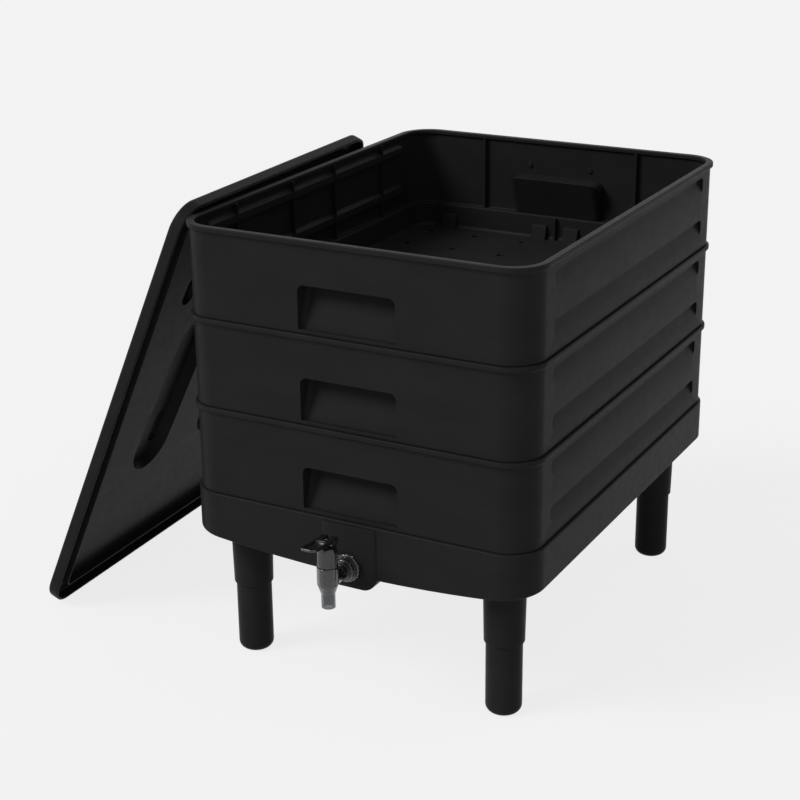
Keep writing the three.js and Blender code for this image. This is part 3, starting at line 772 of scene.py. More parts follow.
@dataclass(frozen=True)
class WireFinish:
    """Drawn steel: fine lines along the wire and a slightly uneven polish."""

    name: str = "drawn_steel"
    colour: Colour = (0.58, 0.59, 0.6)
    shade: Colour = (0.42, 0.42, 0.43)
    line_size: float = 1 / 3500
    line_stretch: Spot = (0.15, 1.0, 1.0)
    line_depth: float = 0.00002
    roughness: Point = (0.2, 0.38)

    def build(self) -> Material:
        """Makes the material.

        Returns:
            The material.
        """
        paint = Paint(self.name, self.colour)
        lines = paint.noise(self.line_size, 3.0, self.line_stretch)
        paint.fill(paint.shader, {
            "Metallic": 1.0, "Base Color": paint.blend(lines, rgba(self.colour), rgba(self.shade)),
            "Roughness": paint.ranged(lines, (0.0, 1.0), self.roughness),
            "Normal": paint.bump(lines, 0.2, self.line_depth)})
        return paint.material


class Finishes:
    """All the finishes of the wormery, made once."""

    def __init__(self) -> None:
        """Builds each finish's material."""
        satin = {"roughness": (0.32, 0.4), "grain_strength": 0.22, "specular": 0.025}
        black, flow = (0.016, 0.016, 0.017), (0.014, 0.014, 0.015)
        self.tray = MouldedFinish("black_moulding", black, flow, (0.05, 0.05, 0.052), **satin).build()
        self.leg = MouldedFinish("leg_tube", black, flow, (0.05, 0.05, 0.05), **satin).build()
        self.smoky = MouldedFinish("smoky_moulding", (0.15, 0.157, 0.168), (0.115, 0.12, 0.128),
                                   (0.19, 0.2, 0.21), roughness=(0.05, 0.12), grain_strength=0.06, coat=0.5,
                                   clear=0.94).build()
        self.tap = MouldedFinish("tap_moulding", (0.012, 0.012, 0.013), (0.009, 0.009, 0.01), (0.03, 0.03, 0.032),
                                 roughness=(0.16, 0.28), grain_strength=0.15, coat=0.4).build()
        self.rubber = MouldedFinish("seal_rubber", (0.011, 0.011, 0.011), (0.008, 0.008, 0.008),
                                    (0.03, 0.03, 0.03), roughness=(0.7, 0.85), grain_size=0.0005,
                                    grain_strength=0.6, specular=0.3).build()
        self.silicone = MouldedFinish("plug_silicone", (0.48, 0.49, 0.48), (0.42, 0.43, 0.41), (0.55, 0.55, 0.54),
                                      roughness=(0.5, 0.62), grain_strength=0.2, wear=0.1).build()
        self.steel = WireFinish().build()


@dataclass
class StackPlan:
    """Sizes that the trays, the sump and the lid share, in millimetres."""

    width: float = 400.0
    depth: float = 528.0
    corner: float = 36.0
    wall: float = 3.0
    bead: float = 3.0
    lip: float = 2.5
    lip_height: float = 5.0
    skirt_inset: float = 9.3
    gap: float = 0.3
    overrun: float = 2.0
    corner_steps: int = 12

    def outline(self, inset: float) -> list[Point]:
        """The plan's outline at an inset from the trays' outer faces."""
        return rounded_rectangle(self.width - 2 * inset, self.depth - 2 * inset, self.corner - inset,
                                 self.corner_steps)

    def slab(self, inset: float, low: float, high: float) -> Solid:
        """The plan's outline as an upright prism."""
        return prism(self.outline(inset), Axis.UP, low, high)


@dataclass
class TrayStack:
    """The three working trays: one moulding, with a pierced floor, ribs, channels and finger pockets."""

    plan: StackPlan
    finishes: Finishes
    names: tuple[str, ...] = ("tray_bottom", "tray_middle", "tray_top")
    pitch: float = 98.0
    ledge_top: float = -92.0
    ledge_thickness: float = 3.0
    bottom: float = -124.0
    floor: float = 3.0
    floor_strip: float = 14.0
    bead_height: float = 5.0
    flare_height: float = 2.2
    rib_thickness: float = 2.5
    rib_stand: float = 5.3
    rib_top: float = -3.0
    side_ribs: tuple[float, ...] = (-160.0, -46.0, 46.0, 160.0)
    end_ribs: tuple[float, ...] = (-100.0, 100.0)
    channel_drops: tuple[float, ...] = (12.0, 62.0)
    channel_depth: float = 4.5
    channel_height: float = 17.0
    channel_slope: float = 9.0
    channel_upper: Point = (1.0, 6.0)
    channel_inset: float = 54.0
    channel_radius: float = 6.0
    pocket_width: float = 111.0
    pocket_height: float = 46.5
    pocket_drop: float = 47.0
    pocket_radius: float = 7.0
    pocket_corner: float = 5.5
    pocket_depths: Point = (24.0, 6.0)
    stud_radius: float = 3.3
    stud_stand: float = 1.6
    stud_places: tuple[float, ...] = (-39.5, 39.5)
    stud_drop: float = 32.0
    lug_places: tuple[float, ...] = (-146.0, -21.0, 21.0, 146.0)
    lug_width: float = 20.0
    lug_height: float = 19.0
    lug_stands: Point = (2.5, 8.0)
    key_thickness: float = 3.0
    key_stand: float = 5.0
    hole: float = 8.0
    hole_pitch: float = 64.0
    hole_counts: tuple[int, int] = (6, 8)

    def profile(self) -> list[Point]:
        """Section of the wall from the middle of the floor's underside, out and over, to its upper side.

        Returns:
            The section's points, as inset and height.
        """
        plan = self.plan
        skirt, wall = plan.skirt_inset, plan.wall
        under = self.ledge_top - self.ledge_thickness
        foot = plan.gap - self.pitch
        return filleted([
            (skirt + self.floor_strip, self.bottom, 0), (skirt, self.bottom, 4), (skirt, under, 1.2),
            (wall, under, 0.8), (wall, foot, 0.4), (0, foot, 0.9), (0, -self.bead_height - self.flare_height, 1.5),
            (-plan.bead, -self.bead_height, 1.2), (-plan.bead, 0, 1.4), (wall + plan.lip, 0, 1.4),
            (wall + plan.lip, -plan.lip_height, 1.0), (wall, -plan.lip_height, 1.0), (wall, self.ledge_top, 1.5),
            (skirt + wall, self.ledge_top, 1.5), (skirt + wall, self.bottom + self.floor, 5),
            (skirt + wall + self.floor_strip, self.bottom + self.floor, 0)])

    def channel(self, drop: float, grow: float) -> Solid:
        """A channel of the right-hand wall, or with grow the wall that goes round it inside.

        Args:
            drop: how far its upper edge lies below the rim.
            grow: thickness of the wall round it, or 0 for the channel itself.

        Returns:
            The solid.
        """
        plan = self.plan
        face = plan.width / 2
        length = plan.depth - 2 * self.channel_inset + 2 * grow
        outer = face - plan.wall / 2 if grow else face + plan.overrun
        shape = [(y, z - drop - self.channel_height / 2) for y, z in rounded_rectangle(
            length, self.channel_height + 2 * grow, self.channel_radius + grow, 5)]
        run = prism(shape, Axis.ACROSS, face - self.channel_depth - plan.wall - plan.overrun, outer)
        inner = face - self.channel_depth - grow
        top, bottom = -drop + grow, -drop - self.channel_height - grow
        upper = self.channel_upper[1 if grow else 0]
        section = prism([(inner, bottom + self.channel_slope), (face, bottom), (outer + plan.overrun, bottom),
                         (outer + plan.overrun, top), (face, top), (inner, top - upper)], Axis.ALONG,
                        -length / 2, length / 2)
        made = run.within(section)
        return made.rounded(1.2, 2, 38) if grow else made

    def pocket(self, grow: float) -> Solid:
        """A finger pocket of the front wall, or with grow the box that goes round it inside.

        Args:
            grow: thickness of the box, or 0 for the pocket itself.

        Returns:
            The solid.
        """
        plan = self.plan
        deep, shallow = self.pocket_depths
        slope = (deep - shallow) / self.pocket_height
        face = -plan.depth / 2
        outer = face + plan.wall / 2 if grow else face - plan.overrun
        half, middle = self.pocket_height / 2 + grow, -self.pocket_drop - self.pocket_height / 2
        width, upper, far = self.pocket_width + 2 * grow, self.pocket_radius + grow, self.pocket_corner + grow
        opening = prism([(x, z + middle) for x, z in rounded_rectangle(width, 2 * half, [0, 0, upper, upper], 6)],
                        Axis.ALONG, outer, face + 2 * deep)
        reach = (deep + shallow) / 2 + grow * math.hypot(1, slope)
        length = deep + reach
        lean = Matrix.Identity(4)
        lean[1][2] = slope
        shape = prism(rounded_rectangle(width, length, [0, 0, far, far], 6), Axis.UP, -half, half).moved(lean)
        made = opening.within(shape.shifted(0, face + reach - length / 2, middle))
        return made.rounded(1.6, 4, 50) if grow else made

    def stud(self, x: float) -> Solid:
        """A round locating stud on the front wall's inner face.

        Args:
            x: its place across the wall.

        Returns:
            The stud.
        """
        reach = self.plan.wall + self.stud_stand
        low, high = self.plan.wall / 2, reach
        profile = filleted([(0, low, 0), (self.stud_radius, low, 0), (self.stud_radius, high, 0.7), (0, high, 0)])
        return lying(lathe(profile, 24)).shifted(x, -self.plan.depth / 2, -self.stud_drop)

    def lug(self, x: float) -> Solid:
        """A stacking lug on the skirt of the front wall, wider towards the floor.

        Args:
            x: its place across the wall.

        Returns:
            The lug.
        """
        start = self.plan.skirt_inset - self.plan.depth / 2
        inner, low = start + self.plan.wall, self.bottom + self.floor / 2
        top, bottom = self.lug_stands
        side = [(start + self.plan.wall / 2, low), (inner + bottom, low), (inner + top, low + self.lug_height),
                (start + self.plan.wall / 2, low + self.lug_height)]
        return prism(side, Axis.ACROSS, x - self.lug_width / 2, x + self.lug_width / 2).rounded(1.0, 2, 50)

    def key(self) -> Solid:
        """The key rib in the middle of the front wall's skirt.

        Returns:
            The rib.
        """
        inner = self.plan.skirt_inset + self.plan.wall - self.plan.depth / 2
        half = self.key_thickness / 2
        return block((-half, inner - self.plan.wall / 2, self.bottom + self.floor / 2),
                     (half, inner + self.key_stand, self.ledge_top - self.ledge_thickness / 2))

    def ribs(self) -> list[Solid]:
        """The upright ribs inside the side walls and the end walls.

        Returns:
            The ribs of the side walls and those of the end walls.
        """
        plan = self.plan
        length = self.rib_stand + plan.wall / 2
        low = self.ledge_top - self.ledge_thickness / 2
        height, middle = self.rib_top - low, (self.rib_top + low) / 2
        x, y = (plan.width - plan.wall - length) / 2, (plan.depth - plan.wall - length) / 2
        sides = [(sign * x, place, middle) for sign in (-1, 1) for place in self.side_ribs]
        ends = [(place, sign * y, middle) for sign in (-1, 1) for place in self.end_ribs]
        return [blocks_at("side ribs", sides, (length, self.rib_thickness, height), self.finishes.tray),
                blocks_at("end ribs", ends, (self.rib_thickness, length, height), self.finishes.tray)]

    def drain(self) -> Solid:
        """Cutters of the square holes that pierce the floor.

        Returns:
            All the cutters as one solid.
        """
        across, along = self.hole_counts
        points = [((column - (across - 1) / 2) * self.hole_pitch, (row - (along - 1) / 2) * self.hole_pitch,
                   self.bottom + self.floor / 2) for column in range(across) for row in range(along)]
        return blocks_at("drain holes", points, (self.hole, self.hole, self.floor + 2 * self.plan.overrun),
                         self.finishes.tray)

    def moulding(self) -> Solid:
        """One tray, with its rim's top at height 0.

        Returns:
            The tray.
        """
        front = [self.pocket(self.plan.wall), self.key(), *map(self.lug, self.lug_places),
                 *map(self.stud, self.stud_places)]
        backs = [self.channel(drop, self.plan.wall) for drop in self.channel_drops]
        channels = [self.channel(drop, 0.0) for drop in self.channel_drops]
        body = swept(self.plan.outline, self.profile()).plus(*self.ribs())
        body = body.plus(*[half for solid in front for half in solid.both(Axis.ALONG)])
        body = body.plus(*[half for solid in backs for half in solid.both(Axis.ACROSS)])
        body = body.minus(self.drain(), *self.pocket(0.0).both(Axis.ALONG))
        return body.minus(*[half for solid in channels for half in solid.both(Axis.ACROSS)])

    def build(self) -> list[Piece]:
        """Makes the three trays.

        Returns:
            The three pieces.
        """
        moulding = self.moulding()
        return [moulding.shifted(z=rim_level(name)).finished(
            f"{name}_moulding", self.finishes.tray, name, "black_plastic", name) for name in self.names]


@dataclass
class SumpBase:
    """The sump: a shallow pan whose bottom sags to the middle, with leg sockets and the boss of the tap."""

    plan: StackPlan
    finishes: Finishes
    bottom_edge: float = 157.0
    top: float = 204.0
    sag: float = 13.0
    floor: float = 3.0
    leg_place: Point = (154.0, 216.0)
    leg_radius: float = 19.5
    leg_gap: float = 0.3
    leg_top: float = 150.0
    socket_low: float = 83.0
    socket_radii: Point = (21.6, 23.4)
    boss_width: float = 64.0
    boss_stand: float = 3.5
    boss_flat: float = 34.0
    boss_radius: float = 15.0
    boss_low: float = 132.0
    boss_top_drop: float = 2.6
    well_depth: float = 36.0
    tap_height: float = 156.0
    tap_hole: float = 8.8

    @property
    def face(self) -> float:
        """Where the front face lies."""
        return -self.plan.depth / 2 - self.plan.bead

    @property
    def boss_face(self) -> float:
        """Where the boss's flat front lies."""
        return self.face - self.boss_stand

    @property
    def well_back(self) -> float:
        """Where the back of the block behind the boss lies."""
        return -self.plan.depth / 2 + self.well_depth

    def sagging(self, rise: float, high: float) -> Solid:
        """A prism along the stack whose underside sags to the middle.

        Args:
            rise: how far it lies above the sump's underside.
            high: its level top.

        Returns:
            The solid.
        """
        half = self.plan.width / 2 + self.plan.bead
        steps = 32
        line = [(half, high), (-half, high)]
        for step in range(steps + 1):
            share = 2 * step / steps - 1
            line.append((share * half, self.bottom_edge + rise - self.sag * (1 - share * share)))
        return prism(line, Axis.ALONG, self.face, -self.face)

    def panel(self, inset: float, low: float, high: float) -> Solid:
        """The boss's block, or at an inset the hollow in it, its two lower corners rounded.

        Args:
            inset: how far it stays inside the boss's faces.
            low: where its underside lies.
            high: where its top lies.

        Returns:
            The solid.
        """
        radius = self.boss_radius - inset
        outline = [(x, z + (low + high) / 2) for x, z in rounded_rectangle(
            self.boss_width - 2 * inset, high - low, [radius, radius, 0, 0], 8)]
        return prism(outline, Axis.ALONG, self.boss_face + inset, self.well_back - inset)

    def boss(self) -> Solid:
        """The boss that stands out round the tap, its front swelling from the sump's face to its own flat.

        Returns:
            The boss.
        """
        high, edge = self.top - self.boss_top_drop, self.boss_width / 2
        steps, flat = 8, self.boss_flat / 2
        swell = [math.pi * step / (2 * steps) for step in range(steps + 1)]
        side = [(flat + (edge - flat) * math.cos(turn), self.face - self.boss_stand * math.sin(turn))
                for turn in swell]
        plan = [*[(-x, y) for x, y in side], *reversed(side), (edge, self.well_back), (-edge, self.well_back)]
        swollen = prism(plan, Axis.UP, self.boss_low - 2, high + 2)
        return self.panel(0.0, self.boss_low, high).within(swollen).rounded(0.9, 3, 50)

    def well(self) -> Solid:
        """The hollow behind the boss."""
        wall = self.plan.wall
        return self.panel(wall, self.boss_low + wall, self.top - self.plan.lip_height - self.plan.overrun)

    def corners(self) -> list[Point]:
        """The places of the four legs, the left ones first, each pair from the front."""
        x, y = self.leg_place
        return [(sx * x, sy * y) for sx in (-1, 1) for sy in (-1, 1)]

    def moulding(self) -> Solid:
        """The whole sump.

        Returns:
            The sump.
        """
        plan = self.plan
        body = plan.slab(-plan.bead, 0, self.top).within(self.sagging(0, self.top + 2)).rounded(2.2, 3, 60)
        middle = (self.top + self.bottom_edge) / 2
        mouth, root = self.socket_radii
        socket = lathe(filleted([(0, self.socket_low, 0), (mouth, self.socket_low, 1.0), (root, middle, 0),
                                 (0, middle, 0)]))
        bore = self.leg_radius + self.leg_gap
        hole = lathe([(0, self.socket_low - 2), (bore, self.socket_low - 2), (bore, self.leg_top),
                      (0, self.leg_top)])
        hollow = plan.slab(plan.wall - plan.bead, 0, self.top - plan.lip_height).plus(
            plan.slab(plan.wall + plan.lip, 0, self.top + plan.overrun)).within(
            self.sagging(self.floor, self.top + 2 * plan.overrun))
        tap_hole = lying(lathe([(0, 0), (self.tap_hole, 0), (self.tap_hole, plan.wall + 4), (0, plan.wall + 4)]))
        body = body.plus(*[socket.shifted(x, y) for x, y in self.corners()], self.boss())
        return body.minus(hollow, self.well(), tap_hole.shifted(0, self.boss_face - 2, self.tap_height),
                          *[hole.shifted(x, y) for x, y in self.corners()])

    def build(self) -> list[Piece]:
        """Makes the sump."""
        return [self.moulding().finished("sump_moulding", self.finishes.tray, "stand", "black_plastic", "base")]


@dataclass
class LegSet:
    """The four legs: tubes with closed, rounded feet, pushed into the sockets."""

    finishes: Finishes
    base: SumpBase
    wall: float = 2.5
    foot: float = 9.0
    gap: float = 0.3
    names: tuple[str, ...] = ("leg_front_left", "leg_front_right", "leg_back_left", "leg_back_right")

    def tube(self) -> Solid:
        """One leg, standing on the vertical axis.

        Returns:
            The leg.
        """
        outer, inner = self.base.leg_radius, self.base.leg_radius - self.wall
        top = self.base.leg_top - self.gap
        return lathe(filleted([(0, 0, 0), (outer, 0, self.foot), (outer, top, 0.6), (inner, top, 0.6),
                               (inner, self.foot, 3.0), (0, self.foot, 0)], 7), 64)

    def build(self) -> list[Piece]:
        """Makes the four legs, the front ones first.

        Returns:
            The four pieces.
        """
        places = sorted(self.base.corners(), key=lambda place: place[1])
        return [self.tube().shifted(x, y).finished(f"{name}_tube", self.finishes.leg, "stand", "leg_plastic", name)
                for name, (x, y) in zip(self.names, places)]


@dataclass
class LeverTap:
    """The tap: a smoky barrel on a threaded shank, with a fluted cap, a thumb lever and the valve inside."""

    finishes: Finishes
    base: SumpBase
    reach: float = 40.5
    gap: float = 0.3
    shank: float = 8.5
    shank_length: float = 22.0
    shank_bore: float = 5.0
    shank_core: float = 0.5
    washer: float = 14.5
    washer_thickness: float = 2.0
    nut: float = 15.0
    nut_thickness: float = 8.0
    nut_chamfer: Point = (1.2, 1.6)
    flange: float = 15.5
    flange_thickness: float = 3.0
    collar: float = 12.0
    collar_length: float = 6.0
    stub: float = 8.0
    barrel: float = 11.3
    barrel_rise: float = 18.3
    nozzle: float = 7.4
    nozzle_drops: Point = (12.0, 28.0)
    nozzle_bore: float = 5.2
    chamber: float = 8.6
    seat_drop: float = 4.6
    seat_thickness: float = 2.4
    seat_bore: float = 4.4
    bonnet: float = 10.6
    bonnet_height: float = 22.4
    dome_height: float = 5.0
    dome_inset: float = 5.4
    cap_thickness: float = 2.5
    spigot_length: float = 5.0
    spigot_wall: float = 1.4
    stem: float = 2.4
    stem_gap: float = 0.4
    stem_collar: Point = (6.0, 2.0)
    stem_head: float = 3.2
    plug: Point = (6.2, 8.0)
    plug_tip: float = 3.4
    spring: Point = (4.6, 0.6)
    spring_turns: float = 5.0
    cam: float = 4.2
    cam_lift: float = 4.0
    cam_turn: float = 80.0
    lever_reach: float = 40.0
    lever_width: float = 17.0
    tip_rise: float = 8.0
    lever_thickness: float = 3.6
    cam_steps: int = 18
    fork: float = 2.9
    fork_start: float = -5.0
    dish: Point = (12.0, 26.0)
    dish_depth: float = 1.2
    dish_corner: float = 4.0
    dish_height: float = 30.0
    dish_flare: float = 1.5
    dish_place: float = 17.0
    pin: float = 1.3
    thread: tuple[float, float, float] = (8.0, 16.0, 0.6)
    thread_inset: float = 0.62
    thread_back: float = 1.5
    flutes: int = 24
    flute_radius: float = 0.75
    flute_out: float = 0.35
    flute_middle: float = 9.0
    flute_length: float = 13.0
    sharp_angle: float = 38.0

    @property
    def height(self) -> float:
        """Height of the shank's axis."""
        return self.base.tap_height

    @property
    def axis(self) -> float:
        """Where the barrel stands along the stack."""
        return self.base.boss_face - self.reach

    @property
    def flange_back(self) -> float:
        """Where the flange's back lies."""
        return self.base.boss_face - self.washer_thickness - 2 * self.gap

    @property
    def barrel_top(self) -> float:
        """Height of the barrel's top."""
        return self.height + self.barrel_rise

    @property
    def bonnet_top(self) -> float:
        """Height of the cap's top."""
        return self.barrel_top + self.gap + self.bonnet_height

    @property
    def pin_height(self) -> float:
        """Height of the lever's pin at rest."""
        return self.bonnet_top + self.gap + self.cam

    @property
    def seat(self) -> float:
        """Height of the valve's seat."""
        return self.height - self.seat_drop

    def bar(self, corners: Sequence[Spot], sides: int = 48) -> Solid:
        """A round bar along the shank's axis, its profile given as radius, place and rounding."""
        return lying(lathe(filleted(corners), sides)).shifted(z=self.height)

    def disc(self, radius: float, low: float, high: float, edge: float, bore: float = 0.0) -> Solid:
        """A disc or ring on the shank's axis.

        Args:
            radius: its outer radius.
            low: where its front lies.
            high: where its back lies.
            edge: rounding of its rim.
            bore: radius of its hole, if it has one.

        Returns:
            The solid.
        """
        corners = [(bore, low, 0), (radius, low, edge), (radius, high, edge), (bore, high, 0)]
        if bore > 0:
            corners.append((bore, low, 0))
        return self.bar(corners)

    def at_barrel(self, corners: Sequence[Spot], sides: int = 48) -> Solid:
        """A piece turned about the barrel's axis, its profile given as radius, height and rounding."""
        return lathe(filleted(corners), sides).shifted(y=self.axis)

    def body(self) -> Solid:
        """Barrel, nozzle, flange and threaded shank in one moulding.

        Returns:
            The moulding.
        """
        level = self.height
        top_drop, end_drop = self.nozzle_drops
        barrel = self.at_barrel([
            (0, level - end_drop, 0), (self.nozzle, level - end_drop, 0.8), (self.nozzle, level - top_drop, 3.0),
            (self.barrel, level - 1.5, 5.0), (self.barrel, self.barrel_top, 0.8), (0, self.barrel_top, 0)])
        back, front = self.flange_back, self.flange_back - self.flange_thickness
        end = self.base.boss_face + self.base.plan.wall + self.shank_length
        bars = [self.disc(self.flange, front, back, 1.1),
                self.disc(self.collar, front - self.collar_length, back - 1.5, 1.2),
                self.bar([(0, self.axis, 0), (self.stub, self.axis, 0), (self.stub, back - 1.5, 0),
                          (0, back - 1.5, 0)]),
                self.disc(self.shank - self.shank_core, back - 1.5, end, 0.8)]
        turns, length, wire = self.thread
        thread = lying(coil("shank thread", turns, self.shank - self.thread_inset, length, wire,
                             self.finishes.smoky))
        bars.append(thread.shifted(0, end - length - self.thread_back, level))
        chamber = self.at_barrel([(0, self.seat, 0), (self.chamber, self.seat, 0.6),
                                  (self.chamber, self.barrel_top + 2, 0), (0, self.barrel_top + 2, 0)])
        under = self.seat - self.seat_thickness
        outlet = self.at_barrel([(0, level - end_drop - 2, 0), (self.nozzle_bore, level - end_drop - 2, 0),
                                 (self.nozzle_bore, under, 0), (self.seat_bore, under, 0),
                                 (self.seat_bore, self.seat + 2, 0), (0, self.seat + 2, 0)])
        inlet = self.bar([(0, self.axis, 0), (self.shank_bore, self.axis, 0), (self.shank_bore, end + 2, 0),
                          (0, end + 2, 0)], 32)
        shelf = block((-self.barrel, self.axis - self.barrel, 0), (self.barrel, self.axis + self.chamber, self.seat))
        return barrel.plus(*bars).minus(chamber, outlet, inlet.minus(shelf))

    def cap(self) -> Solid:
        """The black cap over the valve, fluted for the fingers.

        Returns:
            The cap.
        """
        low = self.barrel_top + self.gap
        spigot = self.chamber - self.gap
        bore, top = spigot - self.spigot_wall, self.bonnet_top
        hole = self.stem + self.stem_gap
        under = top - self.cap_thickness
        corners = [(bore, low - self.spigot_length, 0), (spigot, low - self.spigot_length, 0.3), (spigot, low, 0),
                   (self.bonnet, low, 0.8), (self.bonnet, top - self.dome_height, 2.5),
                   (self.bonnet - 1.6, top - 1.5, 2.0), (self.bonnet - self.dome_inset, top, 1.5), (hole, top, 0.3),
                   (hole, under, 0), (bore, under, 0), (bore, low - self.spigot_length, 0)]
        flutes = rods_round("cap flutes", self.flutes, self.bonnet + self.flute_out, self.flute_radius,
                            self.flute_length, (0.0, self.axis, low + self.flute_middle), self.finishes.tap)
        return self.at_barrel(corners, 72).minus(flutes)

    def rod(self) -> Solid:
        """The rod that lifts the plug, with the eye for the pin.

        Returns:
            The rod.
        """
        low = self.seat + self.plug[1] + 2 * self.gap
        radius, thick = self.stem_collar
        head = self.pin_height + self.stem_head
        rod = self.at_barrel([(0, low, 0), (radius, low, 0.4), (radius, low + thick, 0.4),
                              (self.stem, low + thick, 0), (self.stem, head, 1.1), (0, head, 0)], 32)
        return rod.minus(self.across(self.pin + self.gap, self.stem + 2))

    def across(self, radius: float, half: float) -> Solid:
        """A round bar through the lever's pivot, from side to side.

        Args:
            radius: its radius.
            half: half its length.

        Returns:
            The bar.
        """
        turns = [2 * math.pi * step / 28 for step in range(28)]
        circle = [(radius * math.cos(turn), radius * math.sin(turn)) for turn in turns]
        return prism(circle, Axis.ACROSS, -half, half).shifted(0, self.axis, self.pin_height)

    def stopper(self) -> Solid:
        """The soft plug on the end of the rod.

        Returns:
            The plug.
        """
        low = self.seat + self.gap
        radius, height = self.plug
        return self.at_barrel([(0, low, 0), (self.plug_tip, low, 0.8), (radius, low + height / 2, 1.0),
                               (radius, low + height, 0.6), (0, low + height, 0)], 32)

    def winding(self) -> Solid:
        """The coil that holds the plug down.

        Returns:
            The coil.
        """
        radius, wire = self.spring
        low = self.seat + self.plug[1] + self.stem_collar[1] + 3 * self.gap + wire + self.gap
        high = self.bonnet_top - self.cap_thickness - self.gap - wire - self.gap
        return coil("tap spring", self.spring_turns, radius, high - low, wire, self.finishes.steel).shifted(
            0, self.axis, low)

    def lever(self) -> Solid:
        """The thumb lever: a forked cam under a dished plate that rises to its tip.

        Returns:
            The lever.
        """
        outline: list[Point] = []
        turn = math.radians(self.cam_turn)
        rate = self.cam_lift / turn
        for step in range(self.cam_steps + 1):
            angle = step / self.cam_steps * turn
            lift = self.cam + rate * angle
            outline.append((lift * math.sin(angle) + rate * math.cos(angle),
                            -lift * math.cos(angle) + rate * math.sin(angle)))
        top, reach, thick = self.cam, self.lever_reach, self.lever_thickness
        middle = (top + self.tip_rise) / 2 - thick / 4
        plate = filleted([(-self.cam, top, 0), (-reach / 2, middle, 12.0), (-reach, self.tip_rise, 1.0),
                          (-reach, self.tip_rise - thick * 0.75, 1.0), (-reach / 2, middle - thick, 12.0),
                          (-self.cam, top - thick, 0)], 5)
        outline += [(self.cam + self.cam_lift / 2, top), *plate, (-self.cam, -self.cam / 2),
                    (-self.cam / 2, -self.cam)]
        side = prism(outline, Axis.ACROSS, -self.lever_width / 2, self.lever_width / 2)
        cheek = self.cam + self.cam_lift + self.stem
        plan = [(x, y + (cheek - reach) / 2) for x, y in rounded_rectangle(
            self.lever_width, reach + cheek, [6, 6, 0, 0], 8)]
        fork = block((-self.fork, self.fork_start, -reach), (self.fork, reach, reach))
        slope = math.atan2(self.tip_rise - middle, reach / 2)
        dish = prism(rounded_rectangle(*self.dish, self.dish_corner), Axis.UP, -self.dish_depth,
                     self.dish_height, (self.dish_flare, self.dish_flare)).shifted(0, self.dish_place, 0)
        dish = dish.turned(-math.degrees(slope), "X").shifted(0, -reach, self.tip_rise)
        made = side.within(prism(plan, Axis.UP, -reach, reach)).rounded(0.7, 2, 50)
        made = made.minus(fork, dish).shifted(0, self.axis, self.pin_height)
        return made.minus(self.across(self.pin + self.gap, self.lever_width))

    def nut_solid(self) -> Solid:
        """The back nut, its corners turned down on both faces.

        Returns:
            The nut.
        """
        back = self.base.boss_face + self.base.plan.wall + self.washer_thickness + 2 * self.gap
        hexagon = lying(lathe([(0, back), (self.nut, back), (self.nut, back + self.nut_thickness),
                               (0, back + self.nut_thickness)], 6))
        inward, along = self.nut_chamfer
        corner = self.bar([(0, back, 0), (self.nut - inward, back, 0), (self.nut, back + along, 0),
                           (self.nut, back + self.nut_thickness - along, 0),
                           (self.nut - inward, back + self.nut_thickness, 0), (0, back + self.nut_thickness, 0)])
        hole = self.disc(self.shank + self.gap, back - 2, back + self.nut_thickness + 2, 0)
        return hexagon.shifted(z=self.height).within(corner).minus(hole)

    def build(self) -> list[Piece]:
        """Makes every piece of the tap and puts each on its body.

        Returns:
            The tap's pieces.
        """
        base, gap, thick = self.base, self.gap, self.washer_thickness
        hole = self.shank + gap
        outer = self.flange_back + gap
        inner = base.boss_face + base.plan.wall + gap
        finishes = self.finishes
        rows = [
            (self.body(), "tap_barrel", finishes.smoky, "stand", "smoky_plastic", "tap_body"),
            (self.cap(), "tap_cap", finishes.tap, "stand", "tap_plastic", "tap_bonnet"),
            (self.disc(self.washer, outer, outer + thick, 0.5, hole), "tap_seal_outer", finishes.rubber,
             "stand", "rubber", "tap_washer_outer"),
            (self.disc(self.washer, inner, inner + thick, 0.5, hole), "tap_seal_inner", finishes.rubber,
             "stand", "rubber", "tap_washer_inner"),
            (self.nut_solid(), "tap_back_nut", finishes.tap, "stand", "tap_plastic", "tap_nut"),
            (self.rod(), "tap_rod", finishes.tap, "tap_valve", "tap_plastic", "tap_stem"),
            (self.stopper(), "tap_stopper", finishes.silicone, "tap_valve", "silicone", "tap_plug"),
            (self.across(self.pin, self.lever_width / 2 - gap), "tap_pivot", finishes.steel, "tap_valve",
             "steel", "tap_pin"),
            (self.lever(), "tap_thumb_lever", finishes.tap, "tap_lever", "tap_plastic", "tap_lever"),
        ]
        pieces = [solid.finished(*row, self.sharp_angle) for solid, *row in rows]
        spring = self.winding().finished("tap_coil", finishes.steel, "stand", "steel", "tap_spring")
        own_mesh(spring)
        return [*pieces, spring]


@dataclass(frozen=True)
class Pressing:
    """A shape pressed up through the lid: its size, the draft of its sides, its height and its place."""

    width: float
    length: float
    draft: float
    stand: float
    x: float
    y: float


